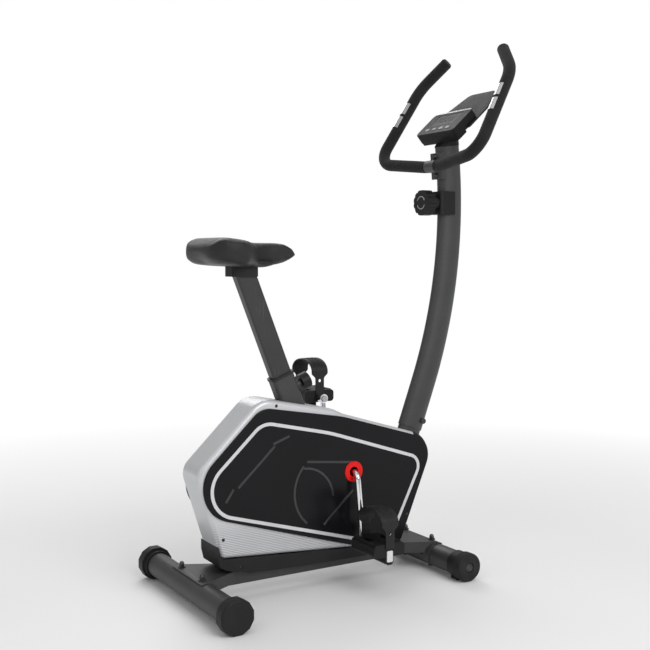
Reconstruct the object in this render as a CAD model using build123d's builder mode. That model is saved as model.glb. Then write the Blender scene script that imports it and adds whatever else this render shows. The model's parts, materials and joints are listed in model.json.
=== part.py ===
from build123d import *
from math import asin, cos, degrees, radians, sin, sqrt, tan
import os

# Upright magnetic exercise bike, in millimetres.
# +X points forward to the handlebar, +Y to the rider's left, +Z up.
# The origin is on the floor, under the middle of the overall box.
# Side-view sketches are drawn on bay planes: their local x is the distance ahead of the rear
# floor tube's axis, and their local y is the height above the deck, the main beam's top face.

os.makedirs("parts", exist_ok=True)

# ---------------------------------------------------------------- driving dimensions
# Floor frame
stance = 632.0                 # rear to front floor tube, axis to axis
rear_foot_width = 470.0
front_foot_width = 416.0
foot_tube_d = 57.0
foot_tube_wall = 1.8
level_cap_rim = 9.5            # how far the levelling cap stands out from the tube
wheel_rim = 6.0                # how far the transport wheel stands out from the tube
floor_lift = 0.6               # transport wheel above the floor, carried by the cap's pad
beam_w = 60.0
beam_h = 30.0
beam_wall = 2.0
beam_rise = 13.0               # beam axis above the rear floor tube's axis
cradle_t = 3.0
cradle_w = 164.0
cradle_flare = 95.0
foot_bolt_y = 56.0
foot_bolt_d = 8.0
level_cap_l = 40.0
level_collar_l = 12.0
cap_end_t = 6.0
front_cap_l = 24.0
front_cap_end_t = 4.0
wheel_w = 26.0
wheel_axle_d = 14.0
wheel_side_gap = 2.0

# Seat tube, seat post and saddle
seat_foot_a = 402.7            # where the seat tube's axis meets the deck
seat_tilt = 21.65              # degrees rearward from upright
sleeve_length = 468.0
sleeve_wall = 2.0
post_l = 50.0                  # post section, fore and aft
post_w = 30.0                  # post section, side to side
post_corner = 7.0
post_wall = 2.0
post_top = 741.0               # along the seat tube's axis from the deck
post_insert = 200.0            # post inside the sleeve
bushing_t = 2.0
bushing_depth = 60.0
bushing_lip = 6.0
slide_gap = 0.1
saddle_l = 252.0
saddle_w = 204.0
saddle_rear_a = 18.0           # saddle's rear end, ahead of the rear floor tube's axis
saddle_top_h = 754.0
saddle_t = 56.0
nose_w = 50.0

# Mast, handlebar and controls
mast_foot_a = 496.0            # where the mast's axis meets the deck
mast_lean = 20.5               # degrees forward at the foot
mast_straight = 418.5          # straight length above the deck before the curve
mast_bend_r = 1282.0
mast_over = 6.9                # degrees the curve goes past upright
mast_l = 70.0                  # oval section, fore and aft
mast_w = 40.0                  # oval section, side to side
mast_wall = 2.0
mast_joint = 303.0             # mast's lower end, along the axis from the deck
stub_insert = 70.0
bar_d = 25.4
bar_wall = 2.0
bar_angle = 4.74               # place of the handlebar along the mast's curve, degrees past upright
bar_bend_in = (0.0, 30.0, 0.0)         # end of the straight stretch in the clamp
bar_bend_out = (-25.0, 208.0, 19.0)    # lower bend corner from the bar's middle
bar_bend_up = (96.0, 183.0, 223.0)     # upper bend corner
bar_tip = (131.0, 113.0, 287.0)        # bar end
bar_mid_r = 60.0
bar_low_r = 48.0
bar_high_r = 90.0
grip_t = 2.4
grip_end_t = 4.0
grip_end_taper = 30
grip_start_y = 22.0
sensor_t = 0.8
sensor_l = 34.0
sensor_arc = 80.0              # degrees round the grip
sensor_rise = 30.0             # middle of the pair above the middle of the rising stretch
sensor_gap = 8.0
knob_angle = 0.45              # place of the tension knob, degrees past upright
knob_d = 64.0
knob_t = 26.0
console_tilt = 42.0
console_w = 156.0
console_l = 87.0
console_t = 20.0
shelf_w = 172.0
shelf_t = 4.0
shelf_l = 194.0
shelf_start_a = 685.0
shelf_start_h = 1012.0
button_l = 9.0
button_w = 15.0
button_pitch = 27.0
button_travel = 1.0
button_gap = 0.3

# Drive
crank_a = 400.0
crank_h = 201.0
crank_arm = 160.4
crank_lean = 1.1               # degrees the near arm points ahead of straight down
crank_d = 14.0
crank_corner_y = 68.0
eye_y = 88.0
eye_r = 11.0
eye_t = 17.0
crank_bend_r = 20.0
bearing_d = 34.0
bearing_t = 10.0
running_gap = 0.05
pulley_r = 105.0
small_pulley_r = 17.0
belt_w = 9.0
belt_t = 2.5
belt_gap = 0.3
belt_y = 25.5
idler_r = 14.0
flywheel_a = 150.0
flywheel_h = 189.0
flywheel_r = 110.0
flywheel_w = 28.0
flywheel_y = -2.0
axle_d = 10.0
magnet_swing = 8.0             # degrees
magnet_gap = 3.0
spindle_d = 12.0
pedal_w = 96.0
pedal_l = 84.0
pedal_t = 30.0
pedal_rise = 4.0               # middle of the pedal above its spindle
strap_top = 96.0               # top of the toe strap above the spindle
strap_t = 3.0
strap_w = 46.0

# Casing
casing_half = 46.0
casing_wall = 3.0
casing_edge = 11.0
casing_top_h = 394.0
casing_bottom_h = 38.0
casing_rear_a = -9.0
casing_front_a = 651.0
panel_t = 5.0
stripe_w = 8.0
stripe_proud = 0.6
stripe_depth = 1.2
cover_strip = 42.0
shell_gap = 0.2
crank_hole_r = 16.0
ring_d = 50.0
ring_bore = 24.0
ring_t = 3.0
screw_head_d = 8.0
screw_d = 4.0
screw_head_t = 1.5
screw_length = 8.0

# ---------------------------------------------------------------- derived places
level_cap_d = foot_tube_d + 2 * level_cap_rim
wheel_d = foot_tube_d + 2 * wheel_rim
rear_foot_z = level_cap_d / 2
front_foot_z = wheel_d / 2 + floor_lift
deck_z = rear_foot_z + beam_rise + beam_h / 2
grip_r = bar_d / 2 + grip_t

mast_cos = cos(radians(mast_lean))
mast_sin = sin(radians(mast_lean))
arc_a = mast_foot_a + mast_straight * mast_sin - mast_bend_r * mast_cos
arc_h = mast_straight * mast_cos + mast_bend_r * mast_sin


def curve_a(angle):
    """Distance ahead of the rear foot of the mast's axis, at an angle past upright."""
    return arc_a + mast_bend_r * cos(radians(angle))


def curve_h(angle):
    """Height above the deck of the mast's axis, at an angle past upright."""
    return arc_h + mast_bend_r * sin(radians(angle))


bar_middle_a = curve_a(bar_angle) - (mast_l / 2 + cradle_t + bar_d / 2) * cos(radians(bar_angle))
bar_middle_h = curve_h(bar_angle) - (mast_l / 2 + cradle_t + bar_d / 2) * sin(radians(bar_angle))
tip_run = Vector(*bar_tip) - Vector(*bar_bend_up)
tip_reach = grip_end_t * tip_run.X / tip_run.length + (grip_r - grip_end_t * tan(radians(grip_end_taper))) * sqrt(
    1 - (tip_run.X / tip_run.length) ** 2)
console_sin = sin(radians(console_tilt))
console_cos = cos(radians(console_tilt))
shelf_reach = shelf_start_a + shelf_l * console_cos + (shelf_t + 2) * console_sin
front_reach = max(bar_middle_a + bar_tip[0] + tip_reach, shelf_reach)
rear_x = (level_cap_d / 2 - front_reach) / 2
front_x = rear_x + stance


# ---------------------------------------------------------------- planes and shared helpers
def bay(y):
    """Side-view plane at distance y, facing the rider's right."""
    return Plane(origin=(rear_x, y, deck_z), x_dir=(1, 0, 0), z_dir=(0, -1, 0))


def place(a, y, h):
    """Point from its distance ahead of the rear foot, its side and its height above the deck."""
    return Vector(rear_x + a, y, deck_z + h)


def seat_plane(along):
    """Plane across the seat tube at a distance along its axis from the deck."""
    tilt = radians(seat_tilt)
    start = place(seat_foot_a - along * sin(tilt), 0, along * cos(tilt))
    return Plane(origin=start, x_dir=(cos(tilt), 0, sin(tilt)), z_dir=(-sin(tilt), 0, cos(tilt)))


def stub_plane(along):
    """Plane across the mast's straight foot at a distance along its axis from the deck."""
    start = place(mast_foot_a + along * mast_sin, 0, along * mast_cos)
    return Plane(origin=start, x_dir=(mast_cos, 0, -mast_sin), z_dir=(mast_sin, 0, mast_cos))


def mast_plane(angle):
    """Plane across the mast's curve: local x forward, local y to the left, local z up the mast."""
    turn = radians(angle)
    start = place(curve_a(angle), 0, curve_h(angle))
    return Plane(origin=start, x_dir=(cos(turn), 0, sin(turn)), z_dir=(-sin(turn), 0, cos(turn)))


def between(start, end, share):
    """Point part of the way from start to end."""
    return start + (end - start) * share


def cut_mast(low_angle, high_angle):
    """Cut the mast's outer shape out of the current part, over a stretch of its curve."""
    revolve(oval(mast_l, mast_w, mast_plane(low_angle)), axis=Axis(place(arc_a, 0, arc_h), (0, -1, 0)),
            revolution_arc=high_angle - low_angle, mode=Mode.SUBTRACT)


def round_bar(radius, a, h, y_low, y_high, mode=Mode.ADD):
    """Round solid along Y in the current part."""
    with BuildSketch(bay(y_high)) as face:
        with Locations((a, h)):
            Circle(radius)
    extrude(face.sketch, amount=y_high - y_low, mode=mode)


def oval(length, width, plane):
    """Oval section of the mast, length fore and aft."""
    with BuildSketch(plane) as face:
        Ellipse(length / 2, width / 2)
    return face.sketch


def outline(corners, radii, plane, inset=0.0):
    """Closed side-view outline with rounded corners, optionally moved inward."""
    with BuildSketch(plane) as face:
        with BuildLine():
            FilletPolyline(*corners, radius=radii, close=True)
        make_face()
        if inset:
            offset(amount=-inset, kind=Kind.INTERSECTION)
    return face.sketch


def write(block, name):
    """Label a finished piece and save it under its own name."""
    block.part.label = name
    export_step(block.part, f"parts/{name}.step")


def write_pair(right, name):
    """Save a right-hand piece and its mirror image."""
    write(right, f"{name}_right")
    with BuildPart() as left:
        mirror(right.part, about=Plane.XZ)
    write(left, f"{name}_left")


def write_both(right, name):
    """Save a right-hand piece and its mirror image as one group."""
    with BuildPart() as both:
        add(right.part)
        mirror(right.part, about=Plane.XZ)
    write(both, name)


# ---------------------------------------------------------------- floor frame
def foot_tube(x, z, length):
    """Round floor tube along Y with the holes for its two bolts."""
    with BuildPart() as tube:
        with BuildSketch(Plane(origin=(x, length / 2, z), x_dir=(1, 0, 0), z_dir=(0, -1, 0))):
            Circle(foot_tube_d / 2)
            Circle(foot_tube_d / 2 - foot_tube_wall, mode=Mode.SUBTRACT)
        extrude(amount=length)
        with BuildSketch(Plane.XY):
            with Locations((x, foot_bolt_y), (x, -foot_bolt_y)):
                Circle(foot_bolt_d / 2)
        extrude(amount=2 * z, mode=Mode.SUBTRACT)
    return tube


def foot_bracket(x, z, toward):
    """Cradle plate on a floor tube, flared down to the main beam; toward is +1 or -1 along X."""
    cradle_r = foot_tube_d / 2 + cradle_t
    wide = cradle_w / 2
    narrow = beam_w / 2 + cradle_t
    end_x = x + toward * cradle_flare
    with BuildPart() as bracket:
        with BuildSketch(Plane(origin=(x, wide, z), x_dir=(1, 0, 0), z_dir=(0, -1, 0))):
            Circle(cradle_r)
            sector = [(2 * cradle_r * toward * cos(radians(t)), 2 * cradle_r * sin(radians(t)))
                      for t in (-25, 10, 45, 80, 115)]
            Polygon((0, 0), *sector, align=None, mode=Mode.INTERSECT)
        extrude(amount=cradle_w)
        with BuildSketch(Plane.XY.offset(deck_z - beam_h + 6)):
            Polygon((x, wide), (end_x, narrow), (end_x, -narrow), (x, -wide), align=None)
        extrude(amount=beam_h - 6 + cradle_t)
        with BuildSketch(Plane.XY.offset(deck_z - beam_h)):
            Polygon((x, wide - cradle_t), (end_x, beam_w / 2), (end_x, -beam_w / 2),
                    (x, cradle_t - wide), align=None)
        extrude(amount=beam_h, mode=Mode.SUBTRACT)
        with BuildSketch(Plane(origin=(x, wide, z), x_dir=(1, 0, 0), z_dir=(0, -1, 0))):
            Circle(foot_tube_d / 2)
        extrude(amount=cradle_w, mode=Mode.SUBTRACT)
        with BuildSketch(Plane.XY):
            with Locations((x, foot_bolt_y), (x, -foot_bolt_y)):
                Circle(foot_bolt_d / 2)
        extrude(amount=3 * z, mode=Mode.SUBTRACT)
    return bracket


rear_foot_tube = foot_tube(rear_x, rear_foot_z, rear_foot_width - 2 * cap_end_t)
write(rear_foot_tube, "rear_foot_tube")
front_foot_tube = foot_tube(front_x, front_foot_z,
                            front_foot_width - 2 * (wheel_w + wheel_side_gap + front_cap_end_t))
write(front_foot_tube, "front_foot_tube")
rear_foot_bracket = foot_bracket(rear_x, rear_foot_z, 1)
write(rear_foot_bracket, "rear_foot_bracket")
front_foot_bracket = foot_bracket(front_x, front_foot_z, -1)
write(front_foot_bracket, "front_foot_bracket")

with BuildPart() as main_beam:
    with BuildSketch(Plane(origin=(rear_x, 0, deck_z - beam_h / 2), x_dir=(0, 1, 0), z_dir=(1, 0, 0))):
        Rectangle(beam_w, beam_h)
        Rectangle(beam_w - 2 * beam_wall, beam_h - 2 * beam_wall, mode=Mode.SUBTRACT)
    extrude(amount=stance)
    for tube_x, tube_z in ((rear_x, rear_foot_z), (front_x, front_foot_z)):
        with BuildSketch(Plane(origin=(tube_x, beam_w, tube_z), x_dir=(1, 0, 0), z_dir=(0, -1, 0))) as tube:
            Circle(foot_tube_d / 2 + cradle_t)
        extrude(tube.sketch, amount=2 * beam_w, mode=Mode.SUBTRACT)
write(main_beam, "main_beam")


# Levelling caps: twelve-sided, sleeved over the rear tube's ends, turned to suit an uneven floor
with BuildPart() as level_cap:
    outer_y = -rear_foot_width / 2
    with BuildSketch(Plane(origin=(rear_x, outer_y + level_cap_l, rear_foot_z), x_dir=(1, 0, 0), z_dir=(0, -1, 0))):
        Circle(foot_tube_d / 2 + 4)
    extrude(amount=level_collar_l)
    with BuildSketch(Plane(origin=(rear_x, outer_y + level_cap_l - level_collar_l, rear_foot_z),
                           x_dir=(1, 0, 0), z_dir=(0, -1, 0))):
        RegularPolygon(level_cap_d / 2, 12, major_radius=False, rotation=15)
    extrude(amount=level_cap_l - level_collar_l)
    chamfer(level_cap.faces().sort_by(Axis.Y)[0].edges(), length=2.5)
    with BuildSketch(Plane(origin=(rear_x, outer_y + level_cap_l, rear_foot_z), x_dir=(1, 0, 0), z_dir=(0, -1, 0))):
        Circle(foot_tube_d / 2 + running_gap)
    extrude(amount=level_cap_l - cap_end_t + running_gap, mode=Mode.SUBTRACT)
write_pair(level_cap, "level_cap")

# Front end caps with a floor pad and the stub axle of a transport wheel
front_outer_y = -front_foot_width / 2
cap_in_y = front_outer_y + wheel_w + wheel_side_gap + front_cap_l
with BuildPart() as front_cap:
    with BuildSketch(Plane(origin=(front_x, cap_in_y, front_foot_z), x_dir=(1, 0, 0), z_dir=(0, -1, 0))):
        Circle(foot_tube_d / 2 + 3)
        with Locations((0, -front_foot_z / 2)):
            Rectangle(34, front_foot_z)
    extrude(amount=front_cap_l)
    with BuildSketch(Plane(origin=(front_x, cap_in_y, front_foot_z), x_dir=(1, 0, 0), z_dir=(0, -1, 0))):
        Circle(foot_tube_d / 2)
    extrude(amount=front_cap_l - front_cap_end_t, mode=Mode.SUBTRACT)
    with BuildSketch(Plane(origin=(front_x, cap_in_y - front_cap_l, front_foot_z),
                           x_dir=(1, 0, 0), z_dir=(0, -1, 0))):
        Circle(wheel_axle_d / 2)
    extrude(amount=wheel_w - 3)
write_both(front_cap, "front_caps")

with BuildPart() as transport_wheel:
    with BuildSketch(Plane(origin=(front_x, front_outer_y + wheel_w, front_foot_z), x_dir=(1, 0, 0), z_dir=(0, -1, 0))):
        Circle(wheel_d / 2)
    extrude(amount=wheel_w)
    fillet(transport_wheel.faces().sort_by(Axis.Y)[0].edges(), radius=6)
    fillet(transport_wheel.faces().sort_by(Axis.Y)[-1].edges(), radius=2)
    with BuildSketch(Plane(origin=(front_x, front_outer_y + wheel_w, front_foot_z), x_dir=(1, 0, 0), z_dir=(0, -1, 0))):
        Circle(wheel_axle_d / 2 + running_gap)
    extrude(amount=wheel_w, mode=Mode.SUBTRACT)
    with BuildSketch(Plane(origin=(front_x, front_outer_y + 5, front_foot_z), x_dir=(1, 0, 0), z_dir=(0, -1, 0))):
        Circle(wheel_axle_d / 2 + 4.5)
    extrude(amount=5, mode=Mode.SUBTRACT)
write_pair(transport_wheel, "transport_wheel")

# Foot bolts with washers and domed nuts, and the transport wheels' end screws
with BuildPart() as foot_bolts:
    for tube_x, tube_z in ((rear_x, rear_foot_z), (front_x, front_foot_z)):
        for side in (1, -1):
            bolt_base = Plane(origin=(tube_x, side * foot_bolt_y, tube_z - foot_tube_d / 2 - 3))
            nut_z = max(tube_z + foot_tube_d / 2, deck_z) + cradle_t
            nut_base = Plane(origin=(tube_x, side * foot_bolt_y, nut_z))
            with BuildSketch(bolt_base) as head:
                Circle(foot_bolt_d)
            extrude(head.sketch, amount=3)
            with BuildSketch(bolt_base) as shank:
                Circle(foot_bolt_d / 2)
            extrude(shank.sketch, amount=nut_z - bolt_base.origin.Z + 9)
            with BuildSketch(nut_base) as washer:
                Circle(foot_bolt_d + 1)
            extrude(washer.sketch, amount=2)
            with BuildSketch(nut_base.offset(2)) as nut:
                RegularPolygon(foot_bolt_d * 0.8, 6)
            extrude(nut.sketch, amount=7)
            with BuildSketch(nut_base.offset(9)) as dome:
                Circle(foot_bolt_d * 0.68)
            extrude(dome.sketch, amount=4, taper=25)
    for side in (1, -1):
        screw_plane = Plane(origin=(front_x, side * (front_outer_y + 5), front_foot_z), x_dir=(1, 0, 0),
                            z_dir=(0, -side, 0))
        with BuildSketch(screw_plane) as wheel_screw:
            Circle(wheel_axle_d / 2 + 3)
        extrude(wheel_screw.sketch, amount=3)
write(foot_bolts, "foot_bolts")

# ---------------------------------------------------------------- seat tube, post and saddle
sleeve_l = post_l + 2 * (bushing_t + slide_gap)
sleeve_w = post_w + 2 * (bushing_t + slide_gap)
pin_d = 10.0
pin_along = sleeve_length - 36
pin_pull = 10.0


def seat_section(length, width, corner, along):
    """Rounded rectangular section across the seat tube."""
    with BuildSketch(seat_plane(along)) as face:
        RectangleRounded(length, width, corner)
    return face.sketch


sleeve_outer_l = sleeve_l + 2 * sleeve_wall
sleeve_outer_w = sleeve_w + 2 * sleeve_wall
sleeve_corner = post_corner + bushing_t + sleeve_wall
shell_half = sleeve_outer_w / 2 - 1
with BuildPart() as seat_sleeve:
    round_bar(bearing_d / 2 + 3, crank_a, crank_h, -shell_half, shell_half)
    with BuildSketch(bay(0)):
        Polygon((crank_a, crank_h + 14), (crank_a, crank_h - 14), (crank_a - 55, crank_h - 55),
                (crank_a - 80, crank_h + 30), align=None)
    extrude(amount=5, both=True)
    round_bar(bearing_d / 2, crank_a, crank_h, -shell_half, shell_half, mode=Mode.SUBTRACT)
    extrude(seat_section(sleeve_outer_l, sleeve_outer_w, sleeve_corner, -40), amount=sleeve_length + 40)
    extrude(seat_section(sleeve_l, sleeve_w, post_corner + bushing_t, 12), amount=sleeve_length, mode=Mode.SUBTRACT)
    split(bisect_by=Plane.XY.offset(deck_z), keep=Keep.TOP)
    pin_plane = Plane(origin=seat_plane(pin_along).origin, x_dir=(0, 1, 0), z_dir=seat_plane(0).x_dir)
    with BuildSketch(pin_plane):
        Circle(pin_d / 2 + running_gap)
    extrude(amount=sleeve_outer_l, mode=Mode.SUBTRACT)
    with BuildSketch(pin_plane.offset(sleeve_outer_l / 2 - 1)):
        Circle(pin_d / 2 + 5)
        Circle(pin_d / 2 + running_gap, mode=Mode.SUBTRACT)
    extrude(amount=12)
write(seat_sleeve, "seat_sleeve")

with BuildPart() as post_bushing:
    extrude(seat_section(sleeve_l, sleeve_w, post_corner + bushing_t, sleeve_length - bushing_depth),
            amount=bushing_depth)
    extrude(seat_section(sleeve_outer_l + 3, sleeve_outer_w + 3, sleeve_corner + 1.5, sleeve_length),
            amount=bushing_lip)
    extrude(seat_section(post_l + 2 * slide_gap, post_w + 2 * slide_gap, post_corner + slide_gap,
                         sleeve_length - bushing_depth), amount=2 * bushing_depth, mode=Mode.SUBTRACT)
    with BuildSketch(pin_plane):
        Circle(pin_d / 2 + running_gap)
    extrude(amount=sleeve_outer_l, mode=Mode.SUBTRACT)
write(post_bushing, "post_bushing")

post_bottom = sleeve_length - post_insert
with BuildPart() as seat_post:
    extrude(seat_section(post_l, post_w, post_corner, post_bottom), amount=post_top - post_bottom)
    extrude(seat_section(post_l - 2 * post_wall, post_w - 2 * post_wall, post_corner - post_wall, post_bottom),
            amount=post_top - post_bottom, mode=Mode.SUBTRACT)
    for step in range(-3, 5):
        hole_plane = Plane(origin=seat_plane(pin_along + 25 * step).origin, x_dir=(0, 1, 0),
                           z_dir=seat_plane(0).x_dir)
        with BuildSketch(hole_plane) as hole:
            Circle(pin_d / 2 + 0.5)
        extrude(hole.sketch, amount=post_l, mode=Mode.SUBTRACT)
write(seat_post, "seat_post")

# Pop pin: its tip stands just off the post, and the knob pulls it outward against a spring
with BuildPart() as pop_pin:
    with BuildSketch(pin_plane.offset(post_l / 2 + 0.5)):
        Circle(pin_d / 2)
    extrude(amount=bushing_t + sleeve_wall + 26)
    with BuildSketch(pin_plane.offset(sleeve_outer_l / 2 + 12)):
        Circle(20)
    extrude(amount=22)
write(pop_pin, "pop_pin")

# Saddle: a padded top on a stiff pan, clamped to the post's top
post_end = seat_plane(post_top).origin
saddle_mid_a = seat_foot_a - post_top * sin(radians(seat_tilt))
saddle_bottom_h = post_top * cos(radians(seat_tilt)) + 16
rear_end = saddle_rear_a
nose_end = saddle_rear_a + saddle_l
half_w = saddle_w / 2
half_nose = nose_w / 2
saddle_plan = [(rear_end, -half_w), (rear_end + 0.33 * saddle_l, -half_w), (rear_end + 0.6 * saddle_l, -half_nose - 12),
               (nose_end, -half_nose), (nose_end, half_nose), (rear_end + 0.6 * saddle_l, half_nose + 12),
               (rear_end + 0.33 * saddle_l, half_w), (rear_end, half_w)]
saddle_plan_r = [55, 40, 60, 24, 24, 60, 40, 55]
saddle_side = [(rear_end, saddle_bottom_h), (rear_end - 4, saddle_bottom_h + 26), (rear_end + 16, saddle_top_h + 2),
               (rear_end + 0.48 * saddle_l, saddle_top_h - 10), (nose_end - 24, saddle_top_h - 10),
               (nose_end + 4, saddle_top_h - 30), (nose_end - 14, saddle_bottom_h + 16),
               (rear_end + 0.66 * saddle_l, saddle_bottom_h)]
saddle_side_r = [8, 12, 22, 200, 26, 6, 10, 60]
pan_t = 5.0
with BuildPart() as saddle_pad:
    with BuildSketch(Plane(origin=(rear_x, 0, deck_z + saddle_bottom_h - 5))) as plan:
        with BuildLine():
            FilletPolyline(*saddle_plan, radius=saddle_plan_r, close=True)
        make_face()
    extrude(amount=2 * saddle_t)
    extrude(outline(saddle_side, saddle_side_r, bay(saddle_w)), amount=2 * saddle_w, mode=Mode.INTERSECT)
write(saddle_pad, "saddle_pad")

with BuildPart() as saddle_pan:
    with BuildSketch(Plane(origin=(rear_x, 0, deck_z + saddle_bottom_h - pan_t))):
        with Locations((saddle_mid_a + 4, 0)):
            RectangleRounded(130, 84, 18)
    extrude(amount=pan_t)
    with BuildSketch(Plane(origin=(rear_x, 0, deck_z + saddle_bottom_h - pan_t))):
        with Locations((saddle_mid_a, 0)):
            RectangleRounded(66, post_w + 14, 6)
    extrude(amount=-30)
    extrude(seat_section(post_l, post_w, post_corner, post_top - 60), amount=60, mode=Mode.SUBTRACT)
write(saddle_pan, "saddle_pan")

# ---------------------------------------------------------------- mast
stub_l = mast_l - 2 * mast_wall - 0.2
stub_w = mast_w - 2 * mast_wall - 0.2
mast_bolt_along = mast_joint + 24
mast_bolt_d = 8.0
mast_bolt_x = 20.0


def mast_bolt_plane(along, y):
    """Side-view plane at a mast bolt."""
    spot = stub_plane(along)
    return Plane(origin=spot.origin + spot.x_dir * mast_bolt_x + Vector(0, y, 0), x_dir=(1, 0, 0), z_dir=(0, -1, 0))


with BuildPart() as mast_stub:
    extrude(oval(stub_l, stub_w, stub_plane(-40)), amount=mast_joint + stub_insert + 40)
    extrude(oval(stub_l - 4, stub_w - 4, stub_plane(6)), amount=mast_joint + stub_insert, mode=Mode.SUBTRACT)
    split(bisect_by=Plane.XY.offset(deck_z), keep=Keep.TOP)
    with BuildSketch(mast_bolt_plane(mast_bolt_along, mast_w)) as hole:
        Circle(mast_bolt_d / 2)
    extrude(hole.sketch, amount=2 * mast_w, mode=Mode.SUBTRACT)
    with BuildSketch(stub_plane(mast_joint - 80)) as cable_exit:
        with Locations((-stub_l / 2, 0)):
            Rectangle(stub_l, 14)
    extrude(cable_exit.sketch, amount=60, mode=Mode.SUBTRACT)
write(mast_stub, "mast_stub")

# ---------------------------------------------------------------- handlebar
def bar_point(offsets, side):
    """Point of the handlebar from its offsets (forward, outward, up) to the bar's middle."""
    forward, outward, up = offsets
    return place(bar_middle_a + forward, side * outward, bar_middle_h + up)


def ring_along(path, outer_r, inner_r):
    """Sweep a ring along the path of the current part."""
    start = Plane(origin=path.line @ 0, z_dir=path.line % 0)
    with BuildSketch(start) as ring:
        Circle(outer_r)
        Circle(inner_r, mode=Mode.SUBTRACT)
    sweep(ring.sketch, path=path.line)


with BuildPart() as handlebar:
    with BuildLine() as bar_path:
        FilletPolyline(bar_point(bar_tip, -1), bar_point(bar_bend_up, -1), bar_point(bar_bend_out, -1),
                       bar_point(bar_bend_in, -1), bar_point(bar_bend_in, 1),
                       bar_point(bar_bend_out, 1), bar_point(bar_bend_up, 1), bar_point(bar_tip, 1),
                       radius=[bar_high_r, bar_low_r, bar_mid_r, bar_mid_r, bar_low_r, bar_high_r])
    ring_along(bar_path, bar_d / 2, bar_d / 2 - bar_wall)
write(handlebar, "handlebar")

low_corner = bar_point(bar_bend_out, -1)
high_corner = bar_point(bar_bend_up, -1)
tip_direction = (bar_point(bar_tip, -1) - high_corner).normalized()
with BuildPart() as grip:
    with BuildLine() as grip_path:
        FilletPolyline(bar_point((0, grip_start_y, 0), -1), bar_point(bar_bend_in, -1), low_corner, high_corner,
                       bar_point(bar_tip, -1), radius=[bar_mid_r, bar_low_r, bar_high_r])
    ring_along(grip_path, grip_r, bar_d / 2)
    with BuildSketch(Plane(origin=bar_point(bar_tip, -1), z_dir=tip_direction)) as end_cap:
        Circle(grip_r)
    extrude(end_cap.sketch, amount=grip_end_t, taper=grip_end_taper)
write_both(grip, "grips")

# Pulse sensors: two plates on each grip, on the side that faces the rider
sensor_run = high_corner - low_corner
with BuildPart() as pulse_sensors:
    for shift in (-sensor_l - sensor_gap / 2, sensor_gap / 2):
        start = between(low_corner, high_corner, 0.5 + (sensor_rise + shift) / sensor_run.length)
        across = sensor_run.normalized()
        back = (Vector(-1, 0, 0) - across * Vector(-1, 0, 0).dot(across)).normalized()
        with BuildSketch(Plane(origin=start, x_dir=back, z_dir=across)) as plate:
            Circle(grip_r + sensor_t)
            Circle(grip_r, mode=Mode.SUBTRACT)
            with Locations((grip_r, 0)):
                Rectangle(2 * grip_r * (1 - cos(radians(sensor_arc / 2))), 4 * grip_r, mode=Mode.INTERSECT)
        extrude(plate.sketch, amount=sensor_l)
write_both(pulse_sensors, "pulse_sensors")

# Bar seat welded behind the mast, and the saddle clamp over the bar with its two bolts
seat_frame = mast_plane(bar_angle)
bar_off = mast_l / 2 + cradle_t + bar_d / 2
clamp_w = 38.0
clamp_h = 66.0
clamp_t = 4.0
clamp_band = 3.0
clamp_bolt_h = 24.0
clamp_seat = mast_l / 2 + 2    # flat that the clamp's ears rest on, behind the mast's middle
seat_root = mast_l / 2 - 12
clamp_side = Plane(origin=seat_frame.origin + Vector(0, clamp_w / 2, 0), x_dir=seat_frame.x_dir, z_dir=(0, -1, 0))


def side_block(back, front, height, mode=Mode.ADD):
    """Block in the clamp's side view, by its distances behind the mast's middle."""
    with Locations((-(back + front) / 2, 0)):
        Rectangle(back - front, height, mode=mode)


with BuildPart() as mast:
    with BuildSketch(clamp_side) as bar_seat:
        side_block(clamp_seat, seat_root, clamp_h)
        side_block(bar_off - 1, seat_root, bar_d - 2)
        with Locations((-bar_off, 0)):
            Circle(bar_d / 2, mode=Mode.SUBTRACT)
    extrude(bar_seat.sketch, amount=clamp_w)
    for length, width, mode in ((mast_l, mast_w, Mode.ADD),
                                (mast_l - 2 * mast_wall, mast_w - 2 * mast_wall, Mode.SUBTRACT)):
        extrude(oval(length, width, stub_plane(mast_joint)), amount=mast_straight - mast_joint, mode=mode)
        revolve(oval(length, width, mast_plane(-mast_lean)), axis=Axis(place(arc_a, 0, arc_h), (0, -1, 0)),
                revolution_arc=mast_lean + mast_over, mode=mode)
    with BuildSketch(mast_bolt_plane(mast_bolt_along, mast_w)) as hole:
        Circle(mast_bolt_d / 2)
    extrude(hole.sketch, amount=2 * mast_w, mode=Mode.SUBTRACT)
    cable_hole = mast_plane(knob_angle)
    with BuildSketch(Plane(origin=cable_hole.origin, x_dir=(0, 1, 0), z_dir=-cable_hole.x_dir)) as hole:
        Circle(6)
    extrude(hole.sketch, amount=mast_l, mode=Mode.SUBTRACT)
write(mast, "mast")

with BuildPart() as bar_clamp:
    with BuildSketch(clamp_side) as saddle_clamp:
        side_block(clamp_seat + clamp_t, clamp_seat, clamp_h)
        side_block(bar_off, clamp_seat, bar_d + 2 * clamp_band)
        with Locations((-bar_off, 0)):
            Circle(bar_d / 2 + clamp_band)
        side_block(bar_off, clamp_seat, bar_d, mode=Mode.SUBTRACT)
        side_block(clamp_seat, 0, clamp_h, mode=Mode.SUBTRACT)
        with Locations((-bar_off, 0)):
            Circle(bar_d / 2, mode=Mode.SUBTRACT)
    extrude(saddle_clamp.sketch, amount=clamp_w)
write(bar_clamp, "bar_clamp")

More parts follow.
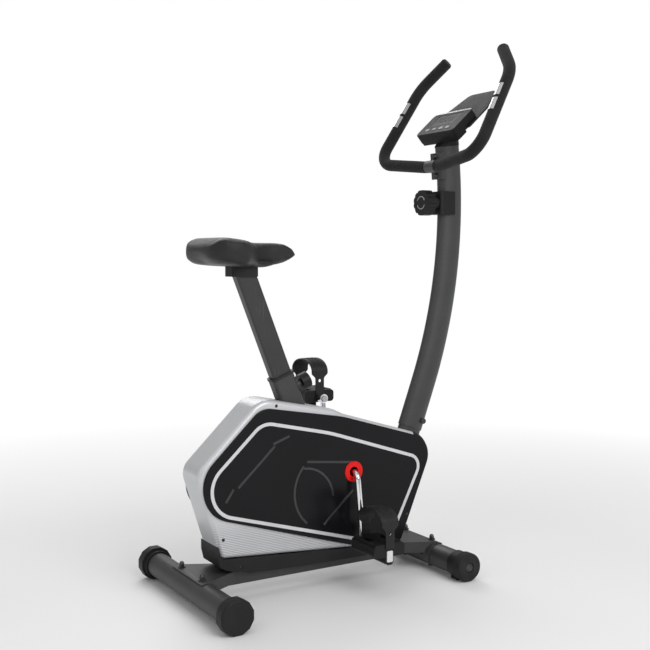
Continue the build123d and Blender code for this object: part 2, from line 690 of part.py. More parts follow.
with BuildPart() as mast_bolts:
    reach = stub_w / 2 * sqrt(1 - (2 * mast_bolt_x / stub_l) ** 2) + mast_wall
    with BuildSketch(mast_bolt_plane(mast_bolt_along, reach + 4)) as shank:
        Circle(mast_bolt_d / 2)
    extrude(shank.sketch, amount=2 * (reach + 4))
    for side in (1, -1):
        with BuildSketch(mast_bolt_plane(mast_bolt_along, side * (reach + 3.4))) as head:
            Circle(7)
        extrude(head.sketch, amount=-side * 4)
    for height in (clamp_bolt_h, -clamp_bolt_h):
        face_point = seat_frame.origin - seat_frame.x_dir * (clamp_seat + clamp_t) + seat_frame.z_dir * height
        with BuildSketch(Plane(origin=face_point, z_dir=-seat_frame.x_dir)) as head:
            Circle(7)
        extrude(head.sketch, amount=5, taper=20)
write(mast_bolts, "mast_bolts")

# ---------------------------------------------------------------- tension knob on the mast's rear side
knob_frame = mast_plane(knob_angle)
knob_body_h = 58.0
knob_body_w = 50.0
knob_body_reach = 12.0         # body behind the mast's rear surface
knob_neck = 17.0
knob_shaft_d = 10.0
knob_axis_plane = Plane(origin=knob_frame.origin, x_dir=(0, 1, 0), z_dir=-knob_frame.x_dir)
with BuildPart() as knob_body:
    with BuildSketch(knob_frame.offset(-knob_body_h / 2)):
        with Locations((-mast_l / 2 - knob_body_reach + 26, 0)):
            RectangleRounded(52, knob_body_w, 8)
        with Locations((mast_l / 2, 0)):
            Rectangle(mast_l, knob_body_w + 1, mode=Mode.SUBTRACT)
    extrude(amount=knob_body_h)
    with BuildSketch(knob_axis_plane.offset(mast_l / 2)) as boss:
        Circle(20)
    extrude(boss.sketch, amount=knob_body_reach + knob_neck - 1)
    cut_mast(knob_angle - 3, knob_angle + 3)
    with BuildSketch(knob_axis_plane.offset(mast_l / 2 - 2)) as bore:
        Circle(knob_shaft_d / 2 + running_gap)
    extrude(bore.sketch, amount=knob_body_reach + knob_neck + 10, mode=Mode.SUBTRACT)
write(knob_body, "knob_body")

with BuildPart() as tension_knob:
    with BuildSketch(knob_axis_plane.offset(mast_l / 2 + 3)) as shaft:
        Circle(knob_shaft_d / 2)
    extrude(shaft.sketch, amount=knob_body_reach + knob_neck)
    with BuildSketch(knob_axis_plane.offset(mast_l / 2 + knob_body_reach + knob_neck)) as grip_disc:
        Circle(knob_d / 2)
        with PolarLocations(knob_d / 2 + 3, 12):
            Circle(5, mode=Mode.SUBTRACT)
    extrude(grip_disc.sketch, amount=knob_t)
write(tension_knob, "tension_knob")

# ---------------------------------------------------------------- console and media shelf
console_plane = Plane(origin=place(shelf_start_a, 0, shelf_start_h), x_dir=(console_cos, 0, console_sin),
                      z_dir=(-console_sin, 0, console_cos))
lip_l = 40.0
lip_t = 9.0
lcd_l = 42.0
lcd_w = 92.0
lcd_x = 54.0
button_x = 17.0
button_h = 5.0
button_proud = 1.5
button_y = [button_pitch * (n - 1.5) for n in range(4)]
with BuildPart() as console_body:
    with BuildSketch(console_plane.offset(-shelf_t - 2)):
        with Locations((console_l / 2 - 1, 0)):
            RectangleRounded(console_l, console_w, 12)
    extrude(amount=console_t + shelf_t + 2)
    fillet(console_body.faces().sort_by(lambda f: -f.center().dot(console_plane.z_dir))[0].edges(), radius=3)
    with BuildSketch(console_plane.offset(-shelf_t - 2)):
        with Locations((lip_l / 2 - 1, 0)):
            RectangleRounded(lip_l, console_w - 8, 10)
    extrude(amount=-lip_t + 2)
    with BuildSketch(console_plane.offset(-shelf_t - 2)):
        with Locations((lip_l + console_l / 2, 0)):
            Rectangle(console_l, console_w + 2)
    extrude(amount=shelf_t + 2, mode=Mode.SUBTRACT)
    with BuildSketch(console_plane.offset(console_t - 2)):
        with Locations((lcd_x, 0)):
            RectangleRounded(lcd_l, lcd_w, 3)
    extrude(amount=4, mode=Mode.SUBTRACT)
    with BuildSketch(console_plane.offset(console_t - button_h - button_travel - 0.5)):
        with Locations(*[(button_x, y) for y in button_y]):
            RectangleRounded(button_l + 2 * button_gap, button_w + 2 * button_gap, 2)
    extrude(amount=2 * button_h, mode=Mode.SUBTRACT)
write(console_body, "console_body")

with BuildPart() as console_display:
    with BuildSketch(console_plane.offset(console_t - 2)):
        with Locations((lcd_x, 0)):
            RectangleRounded(lcd_l, lcd_w, 3)
    extrude(amount=1.6)
write(console_display, "console_display")

for y, button_name in zip(button_y, ("button_mode", "button_set", "button_reset", "button_recovery")):
    with BuildPart() as button:
        with BuildSketch(console_plane.offset(console_t + button_proud - button_h)) as face:
            with Locations((button_x, -y)):
                RectangleRounded(button_l, button_w, 1.7)
        extrude(face.sketch, amount=button_h)
    write(button, button_name)

shelf_lip_t = 5.0
with BuildPart() as media_shelf:
    with BuildSketch(console_plane.offset(-shelf_t - 2)):
        with BuildLine():
            FilletPolyline((lip_l, -shelf_w / 2), (shelf_l * 0.62, -shelf_w / 2), (shelf_l, -shelf_w * 0.3),
                           (shelf_l, shelf_w * 0.3), (shelf_l * 0.62, shelf_w / 2), (lip_l, shelf_w / 2),
                           radius=[6, 30, 20, 20, 30, 6], close=True)
        make_face()
    extrude(amount=shelf_t)
    with BuildSketch(console_plane.offset(-2)):
        with Locations((lip_l + (console_l - lip_l - 1) / 2, 0)):
            Rectangle(console_l - lip_l - 1, console_w - 20)
    extrude(amount=2)
write(media_shelf, "media_shelf")

mast_top = mast_plane(mast_over)
bracket_w = mast_w - 8
with BuildPart() as console_bracket:
    extrude(oval(stub_l - 1, stub_w - 1, mast_top.offset(-28)), amount=28)
    extrude(oval(mast_l + 2, mast_w + 2, mast_top), amount=2 * console_l)
    with BuildSketch(console_plane.offset(-shelf_t - lip_t)) as lip_side:
        with Locations((lip_l - 1 - console_l, 0)):
            Rectangle(2 * console_l, console_w)
    extrude(lip_side.sketch, amount=3 * console_l, mode=Mode.SUBTRACT)
    with BuildSketch(console_plane.offset(-shelf_t - 2)) as shelf_side:
        with Locations((lip_l - 2 + console_l, 0)):
            Rectangle(2 * console_l, console_w)
    extrude(shelf_side.sketch, amount=3 * console_l, mode=Mode.SUBTRACT)
write(console_bracket, "console_bracket")

# ---------------------------------------------------------------- crank, pedals and drive
lean = radians(crank_lean)


def crank_point(along, y):
    """Point on the near or far arm: along is measured from the axle, positive down the near arm."""
    return place(crank_a + along * sin(lean), y, crank_h - along * cos(lean))


with BuildPart() as crank:
    with BuildLine() as crank_path:
        FilletPolyline(crank_point(crank_arm, -eye_y), crank_point(0, -crank_corner_y), crank_point(0, crank_corner_y),
                       crank_point(-crank_arm, eye_y), radius=crank_bend_r)
    with BuildSketch(Plane(origin=crank_path.line @ 0, z_dir=crank_path.line % 0)) as rod:
        Circle(crank_d / 2)
    sweep(rod.sketch, path=crank_path.line)
    for side in (1, -1):
        eye = crank_point(-side * crank_arm, 0)
        round_bar(eye_r, eye.X - rear_x, eye.Z - deck_z, side * eye_y - eye_t / 2, side * eye_y + eye_t / 2)
        round_bar(spindle_d / 2, eye.X - rear_x, eye.Z - deck_z, side * eye_y - eye_t, side * eye_y + eye_t,
                  mode=Mode.SUBTRACT)
write(crank, "crank")

spindle_flange_t = 3.0
pedal_in_y = eye_y + eye_t / 2 + spindle_flange_t + 0.5 + strap_t
spindle_end_y = pedal_in_y + pedal_w - 8
near_eye = crank_point(crank_arm, 0)
pedal_a = near_eye.X - rear_x
pedal_h = near_eye.Z - deck_z
pedal_mid_h = pedal_h + pedal_rise
keel_w = 62.0
keel_l = 22.0
keel_drop = 30.0
reflector_h = 26.0
reflector_w = 16.0
reflector_t = 2.0
reflector_low = 10.0           # middle of the reflector below the spindle
strap_low = 8.0                # strap's ends above the spindle
strap_tongue = 24.0            # strap's width at its ends
strap_neck = 50.0              # height where it starts to widen
strap_hole_h = 43.0
arch_rise = 30.0


def upper_pedal(lower):
    """The far pedal's copy of a near pedal piece: half a turn round the crank, kept upright."""
    shift = crank_point(-crank_arm, 0) - crank_point(crank_arm, 0)
    with BuildPart() as copy:
        add(mirror(lower.part, about=Plane.XZ, mode=Mode.PRIVATE).moved(Location(shift)))
    return copy


with BuildPart() as spindle:
    round_bar(spindle_d / 2, pedal_a, pedal_h, -spindle_end_y, -eye_y + eye_t / 2 + 3)
    with BuildSketch(bay(-eye_y - eye_t / 2)) as flange:
        with Locations((pedal_a, pedal_h)):
            RegularPolygon(spindle_d * 0.72, 6)
    extrude(flange.sketch, amount=spindle_flange_t)
    with BuildSketch(bay(-eye_y + eye_t / 2 + 4)) as nut:
        with Locations((pedal_a, pedal_h)):
            RegularPolygon(spindle_d * 0.72, 6)
    extrude(nut.sketch, amount=4)
far_spindle = upper_pedal(spindle)
with BuildPart() as pedal_spindles:
    add(spindle.part)
    add(far_spindle.part)
write(pedal_spindles, "pedal_spindles")

with BuildPart() as pedal:
    with BuildSketch(bay(-pedal_in_y)) as body:
        with Locations((pedal_a, pedal_mid_h)):
            RectangleRounded(pedal_l, pedal_t, 9)
    extrude(body.sketch, amount=pedal_w)
    keel_y = pedal_in_y + pedal_w - keel_w
    with BuildSketch(bay(-keel_y)) as keel:
        with Locations((pedal_a, pedal_h - keel_drop / 2)):
            RectangleRounded(keel_l, keel_drop, 8)
    extrude(keel.sketch, amount=keel_w)
    for end in (1, -1):
        with BuildSketch(Plane.XY.offset(deck_z + pedal_mid_h - pedal_t)) as window:
            with Locations((rear_x + pedal_a + end * pedal_l * 0.27, -pedal_in_y - 0.36 * pedal_w)):
                RectangleRounded(pedal_l * 0.2, pedal_w * 0.44, 4)
        extrude(window.sketch, amount=2 * pedal_t, mode=Mode.SUBTRACT)
    round_bar(spindle_d / 2 + running_gap, pedal_a, pedal_h, -spindle_end_y - 0.5, 0, mode=Mode.SUBTRACT)
write(pedal, "pedal_right")
far_pedal = upper_pedal(pedal)
write(far_pedal, "pedal_left")

with BuildPart() as reflector:
    with BuildSketch(bay(-pedal_in_y - pedal_w)) as plate:
        with Locations((pedal_a, pedal_h - reflector_low)):
            RectangleRounded(reflector_w, reflector_h, 3)
    extrude(plate.sketch, amount=reflector_t)
write(reflector, "reflector_right")
far_reflector = upper_pedal(reflector)
write(far_reflector, "reflector_left")

with BuildPart() as strap:
    arch_w = pedal_w + 2 * strap_t
    arch_foot = strap_top - arch_rise
    strap_origin = (rear_x + pedal_a - strap_w, -pedal_in_y - pedal_w / 2, deck_z + pedal_h)
    with BuildSketch(Plane(origin=strap_origin, x_dir=(0, 1, 0), z_dir=(1, 0, 0))):
        for width, rise, mode in ((arch_w, arch_rise, Mode.ADD), (pedal_w, arch_rise - strap_t, Mode.SUBTRACT)):
            with Locations((0, (arch_foot + strap_low) / 2)):
                Rectangle(width, arch_foot - strap_low, mode=mode)
            with Locations((0, arch_foot)):
                Ellipse(width / 2, rise, mode=mode)
        Rectangle(2 * pedal_w, 2 * strap_low, mode=Mode.SUBTRACT)
    extrude(amount=2 * strap_w)
    with BuildSketch(bay(0)):
        with BuildLine():
            left_side = [(pedal_a - strap_tongue / 2, pedal_h), (pedal_a - strap_tongue / 2, pedal_h + strap_neck),
                         (pedal_a - strap_w / 2, pedal_h + strap_neck + 10), (pedal_a - strap_w / 2, pedal_h + 2 * strap_top)]
            right_side = [(2 * pedal_a - a, h) for a, h in reversed(left_side)]
            FilletPolyline(*left_side, *right_side, radius=[0.1, 8, 6, 0.1, 0.1, 6, 8, 0.1], close=True)
        make_face()
    extrude(amount=2 * (pedal_in_y + pedal_w), mode=Mode.INTERSECT)
    with BuildSketch(bay(0)) as hole:
        with Locations((pedal_a, pedal_h + strap_hole_h)):
            Circle(4)
    extrude(amount=pedal_in_y + 2 * pedal_w, mode=Mode.SUBTRACT)
write(strap, "toe_strap_right")
far_strap = upper_pedal(strap)
write(far_strap, "toe_strap_left")

# Crank bearings, in the shell welded to the seat tube
with BuildPart() as crank_bearings:
    for side in (1, -1):
        near_y = min(side * shell_half, side * (shell_half - bearing_t))
        round_bar(bearing_d / 2, crank_a, crank_h, near_y, near_y + bearing_t)
    round_bar(crank_d / 2 + running_gap, crank_a, crank_h, -shell_half, shell_half, mode=Mode.SUBTRACT)
write(crank_bearings, "crank_bearings")

with BuildPart() as drive_pulley:
    round_bar(pulley_r, crank_a, crank_h, belt_y - belt_w / 2 - 1, belt_y + belt_w / 2 + 1)
    with BuildSketch(bay(belt_y + belt_w)) as windows:
        with Locations((crank_a, crank_h)):
            with PolarLocations(pulley_r * 0.56, 5):
                Circle(pulley_r * 0.2)
    extrude(windows.sketch, amount=2 * belt_w, mode=Mode.SUBTRACT)
    round_bar(crank_d / 2, crank_a, crank_h, 0, belt_y + belt_w, mode=Mode.SUBTRACT)
write(drive_pulley, "drive_pulley")

# Flywheel: heavy rim, thin web, with the small pulley on its left side, turning on a fixed axle
fork_gap = 3.0
fork_t = 3.0
wheel_low_y = flywheel_y - flywheel_w / 2
wheel_high_y = flywheel_y + flywheel_w / 2
pulley_high_y = belt_y + belt_w / 2 + 1
fork_low_y = wheel_low_y - fork_gap
fork_high_y = pulley_high_y + fork_gap
with BuildPart() as flywheel:
    round_bar(flywheel_r, flywheel_a, flywheel_h, wheel_low_y, wheel_high_y)
    with BuildSketch(bay(wheel_low_y + 9)) as hollow:
        with Locations((flywheel_a, flywheel_h)):
            Circle(flywheel_r - 22)
            Circle(28, mode=Mode.SUBTRACT)
    extrude(hollow.sketch, amount=10, mode=Mode.SUBTRACT)
    with BuildSketch(bay(wheel_high_y + 1)) as hollow:
        with Locations((flywheel_a, flywheel_h)):
            Circle(flywheel_r - 22)
            Circle(28, mode=Mode.SUBTRACT)
    extrude(hollow.sketch, amount=10, mode=Mode.SUBTRACT)
    round_bar(small_pulley_r, flywheel_a, flywheel_h, wheel_low_y, pulley_high_y)
    round_bar(axle_d / 2 + running_gap, flywheel_a, flywheel_h, wheel_low_y - 1, pulley_high_y + 1, mode=Mode.SUBTRACT)
write(flywheel, "flywheel")

with BuildPart() as flywheel_axle:
    round_bar(axle_d / 2, flywheel_a, flywheel_h, fork_low_y - fork_t - 7, fork_high_y + fork_t + 4.5)
    for inner, outer in ((fork_low_y - fork_t - 6, fork_low_y - fork_t), (fork_high_y + fork_t, fork_high_y + fork_t + 4)):
        with BuildSketch(bay(outer)) as nut:
            with Locations((flywheel_a, flywheel_h)):
                RegularPolygon(axle_d * 0.95, 6)
        extrude(nut.sketch, amount=outer - inner)
write(flywheel_axle, "flywheel_axle")

# Idler: a plain roller under the belt's lower run, on a pin of the left fork plate
drive_run = Vector(crank_a - flywheel_a, crank_h - flywheel_h)
belt_turn = degrees(asin((pulley_r - small_pulley_r) / drive_run.length))
belt_normal = drive_run.normalized().rotate(Axis.Z, -90 - belt_turn)
belt_low_start = Vector(flywheel_a, flywheel_h) + belt_normal * small_pulley_r
belt_low_end = Vector(crank_a, crank_h) + belt_normal * pulley_r
idler_spot = between(belt_low_start, belt_low_end, 0.25) + belt_normal * (2 * belt_gap + belt_t + idler_r)
idler_pin_d = 8.0

magnet_pivot_r = flywheel_r + 15
magnet_pivot_turn = radians(160)
pivot_a = flywheel_a + magnet_pivot_r * cos(magnet_pivot_turn)
pivot_h = flywheel_h + magnet_pivot_r * sin(magnet_pivot_turn)
pivot_d = 8.0
with BuildPart() as flywheel_fork:
    for plate_y in (fork_low_y, fork_high_y + fork_t):
        with BuildSketch(bay(plate_y)) as plate:
            with BuildLine():
                Polyline((flywheel_a - 50, 0), (flywheel_a + 60, 0), (idler_spot.X + 14, idler_spot.Y - 8),
                         (idler_spot.X + 12, idler_spot.Y + 12), (flywheel_a + 16, flywheel_h + 10),
                         (flywheel_a - 20, flywheel_h + 16), (pivot_a + 12, pivot_h + 9), (pivot_a - 9, pivot_h + 9),
                         (pivot_a - 9, pivot_h - 12), (flywheel_a - 26, flywheel_h - 22), close=True)
            make_face()
            with Locations((flywheel_a, flywheel_h)):
                Circle(axle_d / 2, mode=Mode.SUBTRACT)
        extrude(plate.sketch, amount=fork_t)
    round_bar(pivot_d / 2, pivot_a, pivot_h, fork_low_y, fork_high_y)
    round_bar(idler_pin_d / 2, idler_spot.X, idler_spot.Y, belt_y - belt_w / 2 - 1, fork_high_y)
write(flywheel_fork, "flywheel_fork")

# Magnet bracket: an arc over the flywheel's rim, drawn swung back to its far stop
rest_turn = radians(magnet_swing)
pivot_point = place(pivot_a, 0, pivot_h)
magnet_plane = Plane(origin=pivot_point + Vector(0, wheel_high_y - 4, 0),
                     x_dir=(cos(rest_turn), 0, sin(rest_turn)), z_dir=(0, -1, 0))
wheel_local = (flywheel_a - pivot_a, flywheel_h - pivot_h)
magnet_low_r = flywheel_r + magnet_gap
magnet_w = flywheel_w - 8


def arc_band(low_r, high_r, start_turn, end_turn):
    """Ring sector about the flywheel's centre in the magnet bracket's frame, turns in degrees."""
    with BuildSketch(magnet_plane) as band:
        with Locations(wheel_local):
            Circle(high_r)
            Circle(low_r, mode=Mode.SUBTRACT)
            reach = [(3 * high_r * cos(radians(t)), 3 * high_r * sin(radians(t)))
                     for t in (start_turn, (start_turn + end_turn) / 2, end_turn)]
            Polygon((0, 0), *reach, align=None, mode=Mode.INTERSECT)
    return band.sketch


with BuildPart() as magnet_bracket:
    extrude(arc_band(magnet_low_r + 7, magnet_low_r + 10, 64, 158), amount=magnet_w)
    with BuildSketch(magnet_plane) as lug:
        Circle(pivot_d)
    extrude(lug.sketch, amount=magnet_w)
    with BuildSketch(magnet_plane) as bore:
        Circle(pivot_d / 2 + running_gap)
    extrude(bore.sketch, amount=magnet_w, mode=Mode.SUBTRACT)
bracket_plate = magnet_bracket.part
with BuildPart() as magnet_set:
    for start_turn in (68, 90, 112, 134):
        extrude(arc_band(magnet_low_r, magnet_low_r + 6.9, start_turn, start_turn + 14), amount=magnet_w)
with BuildPart() as magnet_arm:
    add(bracket_plate)
    add(magnet_set.part)
write(magnet_arm, "magnet_bracket")

# Belt: a loop round both pulleys, a small gap clear of them
def belt_hull(extra):
    """Outline round both pulleys at an extra radius."""
    with BuildSketch(bay(belt_y + belt_w / 2)) as hull:
        with Locations((crank_a, crank_h)):
            Circle(pulley_r + extra)
        with Locations((flywheel_a, flywheel_h)):
            Circle(small_pulley_r + extra)
        make_hull()
    return hull.sketch


with BuildPart() as drive_belt:
    extrude(belt_hull(belt_gap + belt_t), amount=belt_w)
    extrude(belt_hull(belt_gap), amount=belt_w, mode=Mode.SUBTRACT)
write(drive_belt, "drive_belt")

with BuildPart() as idler:
    round_bar(idler_r, idler_spot.X, idler_spot.Y, belt_y - belt_w / 2, belt_y + belt_w / 2)
    round_bar(idler_pin_d / 2 + running_gap, idler_spot.X, idler_spot.Y, 0, belt_y + belt_w, mode=Mode.SUBTRACT)
write(idler, "idler_roller")

# ---------------------------------------------------------------- casing
front_slope = 0.414            # forward run of the casing's front per unit of height
top_slope = 0.299              # fall of the casing's front top per unit of length
front_corner = (casing_front_a, 259.0)
front_foot = (casing_front_a - front_slope * (front_corner[1] - 4), 4.0)
step_back = (352.0, 353.0)
step_front = (378.0, front_corner[1] + top_slope * (casing_front_a - 378.0))
casing_corners = [(155, casing_top_h), step_back, step_front, front_corner, front_foot,
                  (53, casing_bottom_h), (casing_rear_a, 236)]
casing_radii = [60, 14, 14, 60, 14, 14, 40]
panel_corners = [(154, 373), (372, 335.5), (front_corner[0] - 8, front_corner[1] - 4),
                 (front_foot[0] - 4, front_foot[1] + casing_edge), (401, 20), (-66, 163)]
panel_radii = [50, 300, 54, 8, 160, 80]
stripe_corners = [(156, 339), (335.6, 299.3), (604.5, 212), (509, 23.5), (430, 29.5), (-34.5, 162.5)]
stripe_radii = [50, 500, 30, 16, 120, 64]
strip_top = (front_corner[0] - cover_strip, casing_top_h + 10)
strip_foot = (front_foot[0] - cover_strip * 0.6, -20)


def cut_outside(profile_plane, corners, depth):
    """Keep only what lies inside an outline, over a depth each way."""
    with BuildSketch(profile_plane) as keep:
        Polygon(*corners, align=None)
    extrude(keep.sketch, amount=depth, both=True, mode=Mode.INTERSECT)


def cut_frame_ways():
    """Openings in the casing for the seat tube, the mast's foot and the crank."""
    extrude(seat_section(sleeve_outer_l + 2, sleeve_outer_w + 2, sleeve_corner + 1, -20),
            amount=sleeve_length - 5, mode=Mode.SUBTRACT)
    extrude(oval(mast_l + 2, mast_w + 2, stub_plane(-20)), amount=mast_joint + 90, mode=Mode.SUBTRACT)
    round_bar(crank_hole_r, crank_a, crank_h, -2 * casing_half, 2 * casing_half, mode=Mode.SUBTRACT)
    with BuildSketch(Plane(origin=(rear_x, 0, deck_z - 5))) as floor_slot:
        with Locations(((100 + front_foot[0] - 12) / 2, 0)):
            Rectangle(front_foot[0] - 12 - 100, 78)
    extrude(floor_slot.sketch, amount=casing_bottom_h + 16, mode=Mode.SUBTRACT)


screw_spots = [(57, 82, casing_half), (193, casing_top_h - 20, casing_half), (560, 76, casing_half + panel_t),
               (102, 14, casing_half)]


def screw_shapes(spots, mode):
    """Casing screws, or the counterbored holes for them, on both sides."""
    for a, h, y in spots:
        for low, high in ((-y, -y + screw_head_t), (y - screw_head_t, y)):
            round_bar(screw_head_d / 2, a, h, low, high, mode=mode)
        for low, high in ((-y, -y + screw_length), (y - screw_length, y)):
            round_bar(screw_d / 2, a, h, low, high, mode=mode)


with BuildPart() as casing_hollow:
    extrude(outline(casing_corners, casing_radii, bay(0), inset=casing_wall), amount=casing_half - casing_wall)
    fillet(casing_hollow.faces().sort_by(Axis.Y)[0].edges(), radius=casing_edge - casing_wall)

with BuildPart() as casing_blank:
    extrude(outline(casing_corners, casing_radii, bay(0)), amount=casing_half)
    fillet(casing_blank.faces().sort_by(Axis.Y)[0].edges(), radius=casing_edge)
    add(casing_hollow.part, mode=Mode.SUBTRACT)
    cut_frame_ways()

rear_region = [(casing_rear_a - 20, -30), (strip_foot[0] - shell_gap, strip_foot[1]),
               (strip_top[0] - shell_gap, strip_top[1]), (casing_rear_a - 20, casing_top_h + 20)]
front_region = [(strip_foot[0], strip_foot[1]), (casing_front_a + 40, -20), (casing_front_a + 40, strip_top[1]), strip_top]
with BuildPart() as casing:
    add(casing_blank.part)
    cut_outside(bay(0), rear_region, 2 * casing_half)
    with BuildSketch(bay(0)) as seam:
        with Locations((casing_front_a / 2, casing_top_h / 2)):
            Rectangle(2 * casing_front_a, 2 * casing_top_h)
    extrude(seam.sketch, amount=shell_gap / 2, mode=Mode.SUBTRACT)
    screw_shapes(screw_spots[:2], Mode.SUBTRACT)
write_pair(casing, "casing")

with BuildPart() as front_cover:
    add(casing_blank.part)
    mirror(casing_blank.part, about=Plane.XZ)
    cut_outside(bay(0), front_region, 2 * casing_half)
    screw_shapes(screw_spots[2:3], Mode.SUBTRACT)
write(front_cover, "front_cover")

with BuildPart() as side_panel:
    extrude(outline(panel_corners, panel_radii, bay(-casing_half)), amount=panel_t)
    fillet(side_panel.faces().sort_by(Axis.Y)[0].edges(), radius=2)
    round_bar(crank_hole_r, crank_a, crank_h, -2 * casing_half, 0, mode=Mode.SUBTRACT)
    stripe_face = bay(-casing_half - panel_t + stripe_depth)
    extrude(outline(stripe_corners, stripe_radii, stripe_face, inset=-stripe_w / 2)
            - outline(stripe_corners, stripe_radii, stripe_face, inset=stripe_w / 2),
            amount=2 * stripe_depth, mode=Mode.SUBTRACT)
    screw_shapes(screw_spots[2:3], Mode.SUBTRACT)
write_pair(side_panel, "side_panel")

with BuildPart() as pinstripe:
    extrude(outline(stripe_corners, stripe_radii, stripe_face, inset=-stripe_w / 2)
            - outline(stripe_corners, stripe_radii, stripe_face, inset=stripe_w / 2),
            amount=stripe_depth + stripe_proud)
write_both(pinstripe, "pinstripes")

with BuildPart() as crank_ring:
    round_bar(ring_d / 2, crank_a, crank_h, -casing_half - panel_t - ring_t, -casing_half - panel_t)
    chamfer(crank_ring.faces().sort_by(Axis.Y)[0].edges(), length=1)
    round_bar(crank_hole_r, crank_a, crank_h, -casing_half - panel_t, -casing_half)
    round_bar(ring_bore / 2, crank_a, crank_h, -2 * casing_half, 0, mode=Mode.SUBTRACT)
write_both(crank_ring, "crank_rings")

with BuildPart() as casing_screws:
    screw_shapes(screw_spots, Mode.ADD)
write(casing_screws, "casing_screws")

# Belly pan: a tray under the casing that hides the beam's top
pan_front_a = stance - cradle_flare - 3
pan_floor = [(44, casing_bottom_h + 6), (50, 19), (68, 10), (90, 4), (100, 4), (123, -4), (254, -9), (414, -11),
             (pan_front_a - 18, -12), (pan_front_a - 3, -6), (pan_front_a, 3), (pan_front_a, 40),
             (44, casing_bottom_h + 60)]
pan_wall = 2.5
with BuildPart() as belly_pan:
    with BuildSketch(bay(0)) as side:
        Polygon(*pan_floor, align=None)
    extrude(side.sketch, amount=casing_half, both=True)
    with BuildSketch(bay(0)) as inner:
        Polygon(*pan_floor, align=None)
        offset(amount=-pan_wall, kind=Kind.INTERSECTION)
    extrude(inner.sketch, amount=casing_half - pan_wall, both=True, mode=Mode.SUBTRACT)
    extrude(outline(casing_corners, casing_radii, bay(0)), amount=2 * casing_half, both=True, mode=Mode.SUBTRACT)
    with BuildSketch(Plane(origin=(rear_x + pan_front_a / 2, 0, 0))) as beam_slot:
        Rectangle(pan_front_a + 40, 2 * (fork_high_y + fork_t + 1))
    extrude(beam_slot.sketch, amount=deck_z + 7, mode=Mode.SUBTRACT)
    screw_shapes(screw_spots[3:], Mode.SUBTRACT)
write(belly_pan, "belly_pan")

# Tension cable: from the knob down inside the mast, out of the stub and over to the magnet bracket
cable_r = 2.0
with BuildPart() as tension_cable:
    with BuildLine() as cable_path:
        ThreePointArc(place(curve_a(knob_angle), 0, curve_h(knob_angle)),
                      place(curve_a(-10), 0, curve_h(-10)), place(curve_a(-mast_lean), 0, curve_h(-mast_lean)))
        FilletPolyline(place(curve_a(-mast_lean), 0, curve_h(-mast_lean)), stub_plane(mast_joint - 50).origin,
                       place(530, 0, 236), place(470, -28, 232), place(250, -28, 270), radius=[40, 60, 60])
    with BuildSketch(Plane(origin=cable_path.line @ 0, z_dir=cable_path.line % 0)) as cable_section:
        Circle(cable_r)
    sweep(cable_section.sketch, path=cable_path.line)
write(tension_cable, "tension_cable")
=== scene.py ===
import json
from math import atan2, cos, pi, radians, sin

import bmesh
import bpy
from bpy.props import FloatProperty, FloatVectorProperty, IntProperty, PointerProperty
from mathutils import Matrix, Vector

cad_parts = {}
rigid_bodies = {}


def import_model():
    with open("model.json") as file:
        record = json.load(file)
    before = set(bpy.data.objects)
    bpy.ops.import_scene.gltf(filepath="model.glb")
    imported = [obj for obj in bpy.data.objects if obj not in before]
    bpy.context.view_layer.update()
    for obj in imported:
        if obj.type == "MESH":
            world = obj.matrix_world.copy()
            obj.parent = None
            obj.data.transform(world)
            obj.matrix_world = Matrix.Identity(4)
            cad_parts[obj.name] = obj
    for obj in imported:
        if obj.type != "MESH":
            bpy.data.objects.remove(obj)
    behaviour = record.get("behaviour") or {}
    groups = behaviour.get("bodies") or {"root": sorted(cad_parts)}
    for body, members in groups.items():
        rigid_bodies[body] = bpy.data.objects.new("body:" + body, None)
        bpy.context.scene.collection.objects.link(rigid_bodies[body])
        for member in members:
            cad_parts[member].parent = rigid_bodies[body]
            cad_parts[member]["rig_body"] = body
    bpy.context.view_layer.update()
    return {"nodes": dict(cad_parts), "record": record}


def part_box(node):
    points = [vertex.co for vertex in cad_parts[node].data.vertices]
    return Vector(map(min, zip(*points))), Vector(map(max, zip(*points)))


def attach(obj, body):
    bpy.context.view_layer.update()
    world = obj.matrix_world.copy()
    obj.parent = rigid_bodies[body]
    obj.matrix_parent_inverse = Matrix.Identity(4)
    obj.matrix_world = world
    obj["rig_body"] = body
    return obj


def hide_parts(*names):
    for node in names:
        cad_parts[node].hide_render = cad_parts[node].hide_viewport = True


bl_info = {
    "name": "Upright exercise bike",
    "version": (1, 0, 0),
    "blender": (4, 5, 0),
    "location": "3D View > Sidebar > Bike",
    "description": "Finishes and detailed pieces for an upright magnetic exercise bike",
    "category": "Object",
}

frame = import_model()
SLOTS = {part["node"]: part["material_slot"] for part in frame["record"]["subparts"]}
FINISHES = {}

# Bars of a seven-part digit on the display: place up and across, height and width
DIGIT_BARS = [(up, 0, 0.0012, 0.006) for up in (0.009, 0, -0.009)]
DIGIT_BARS += [(up, across, 0.0075, 0.0012) for up in (0.0045, -0.0045) for across in (0.0042, -0.0042)]

# Shares of the saddle's length: the skirt's half wave, and where the nose begins to dip
SKIRT_SPAN = 1.2
NOSE_START = 0.75

# Casing screws: metres ahead of the rear foot's axis, above the deck and out from the middle
SCREWS = ((0.057, 0.082, 0.046), (0.193, 0.374, 0.046), (0.560, 0.076, 0.051), (0.102, 0.014, 0.046))

# Domed screw head: radius, and height above its seat
SCREW_HEAD = ((0, 0.0011), (0.0014, 0.00105), (0.0028, 0.0008), (0.0037, 0.0002), (0.0039, -0.0001),
              (0.002, -0.0001), (0.002, -0.006), (0, -0.0062))

# Circle of the turn marks on the tension knob, and the lift of thin prints off their face
MARK_RADIUS = 0.0155
PRINT_RISE = 0.0001

# Camera: metres from the foot of the rear axis, and degrees down and to the side
CAMERA_PLACE = (-0.9122, -2.0808, 0.7794)
CAMERA_TILT = 3.80
CAMERA_TURN = 31.26

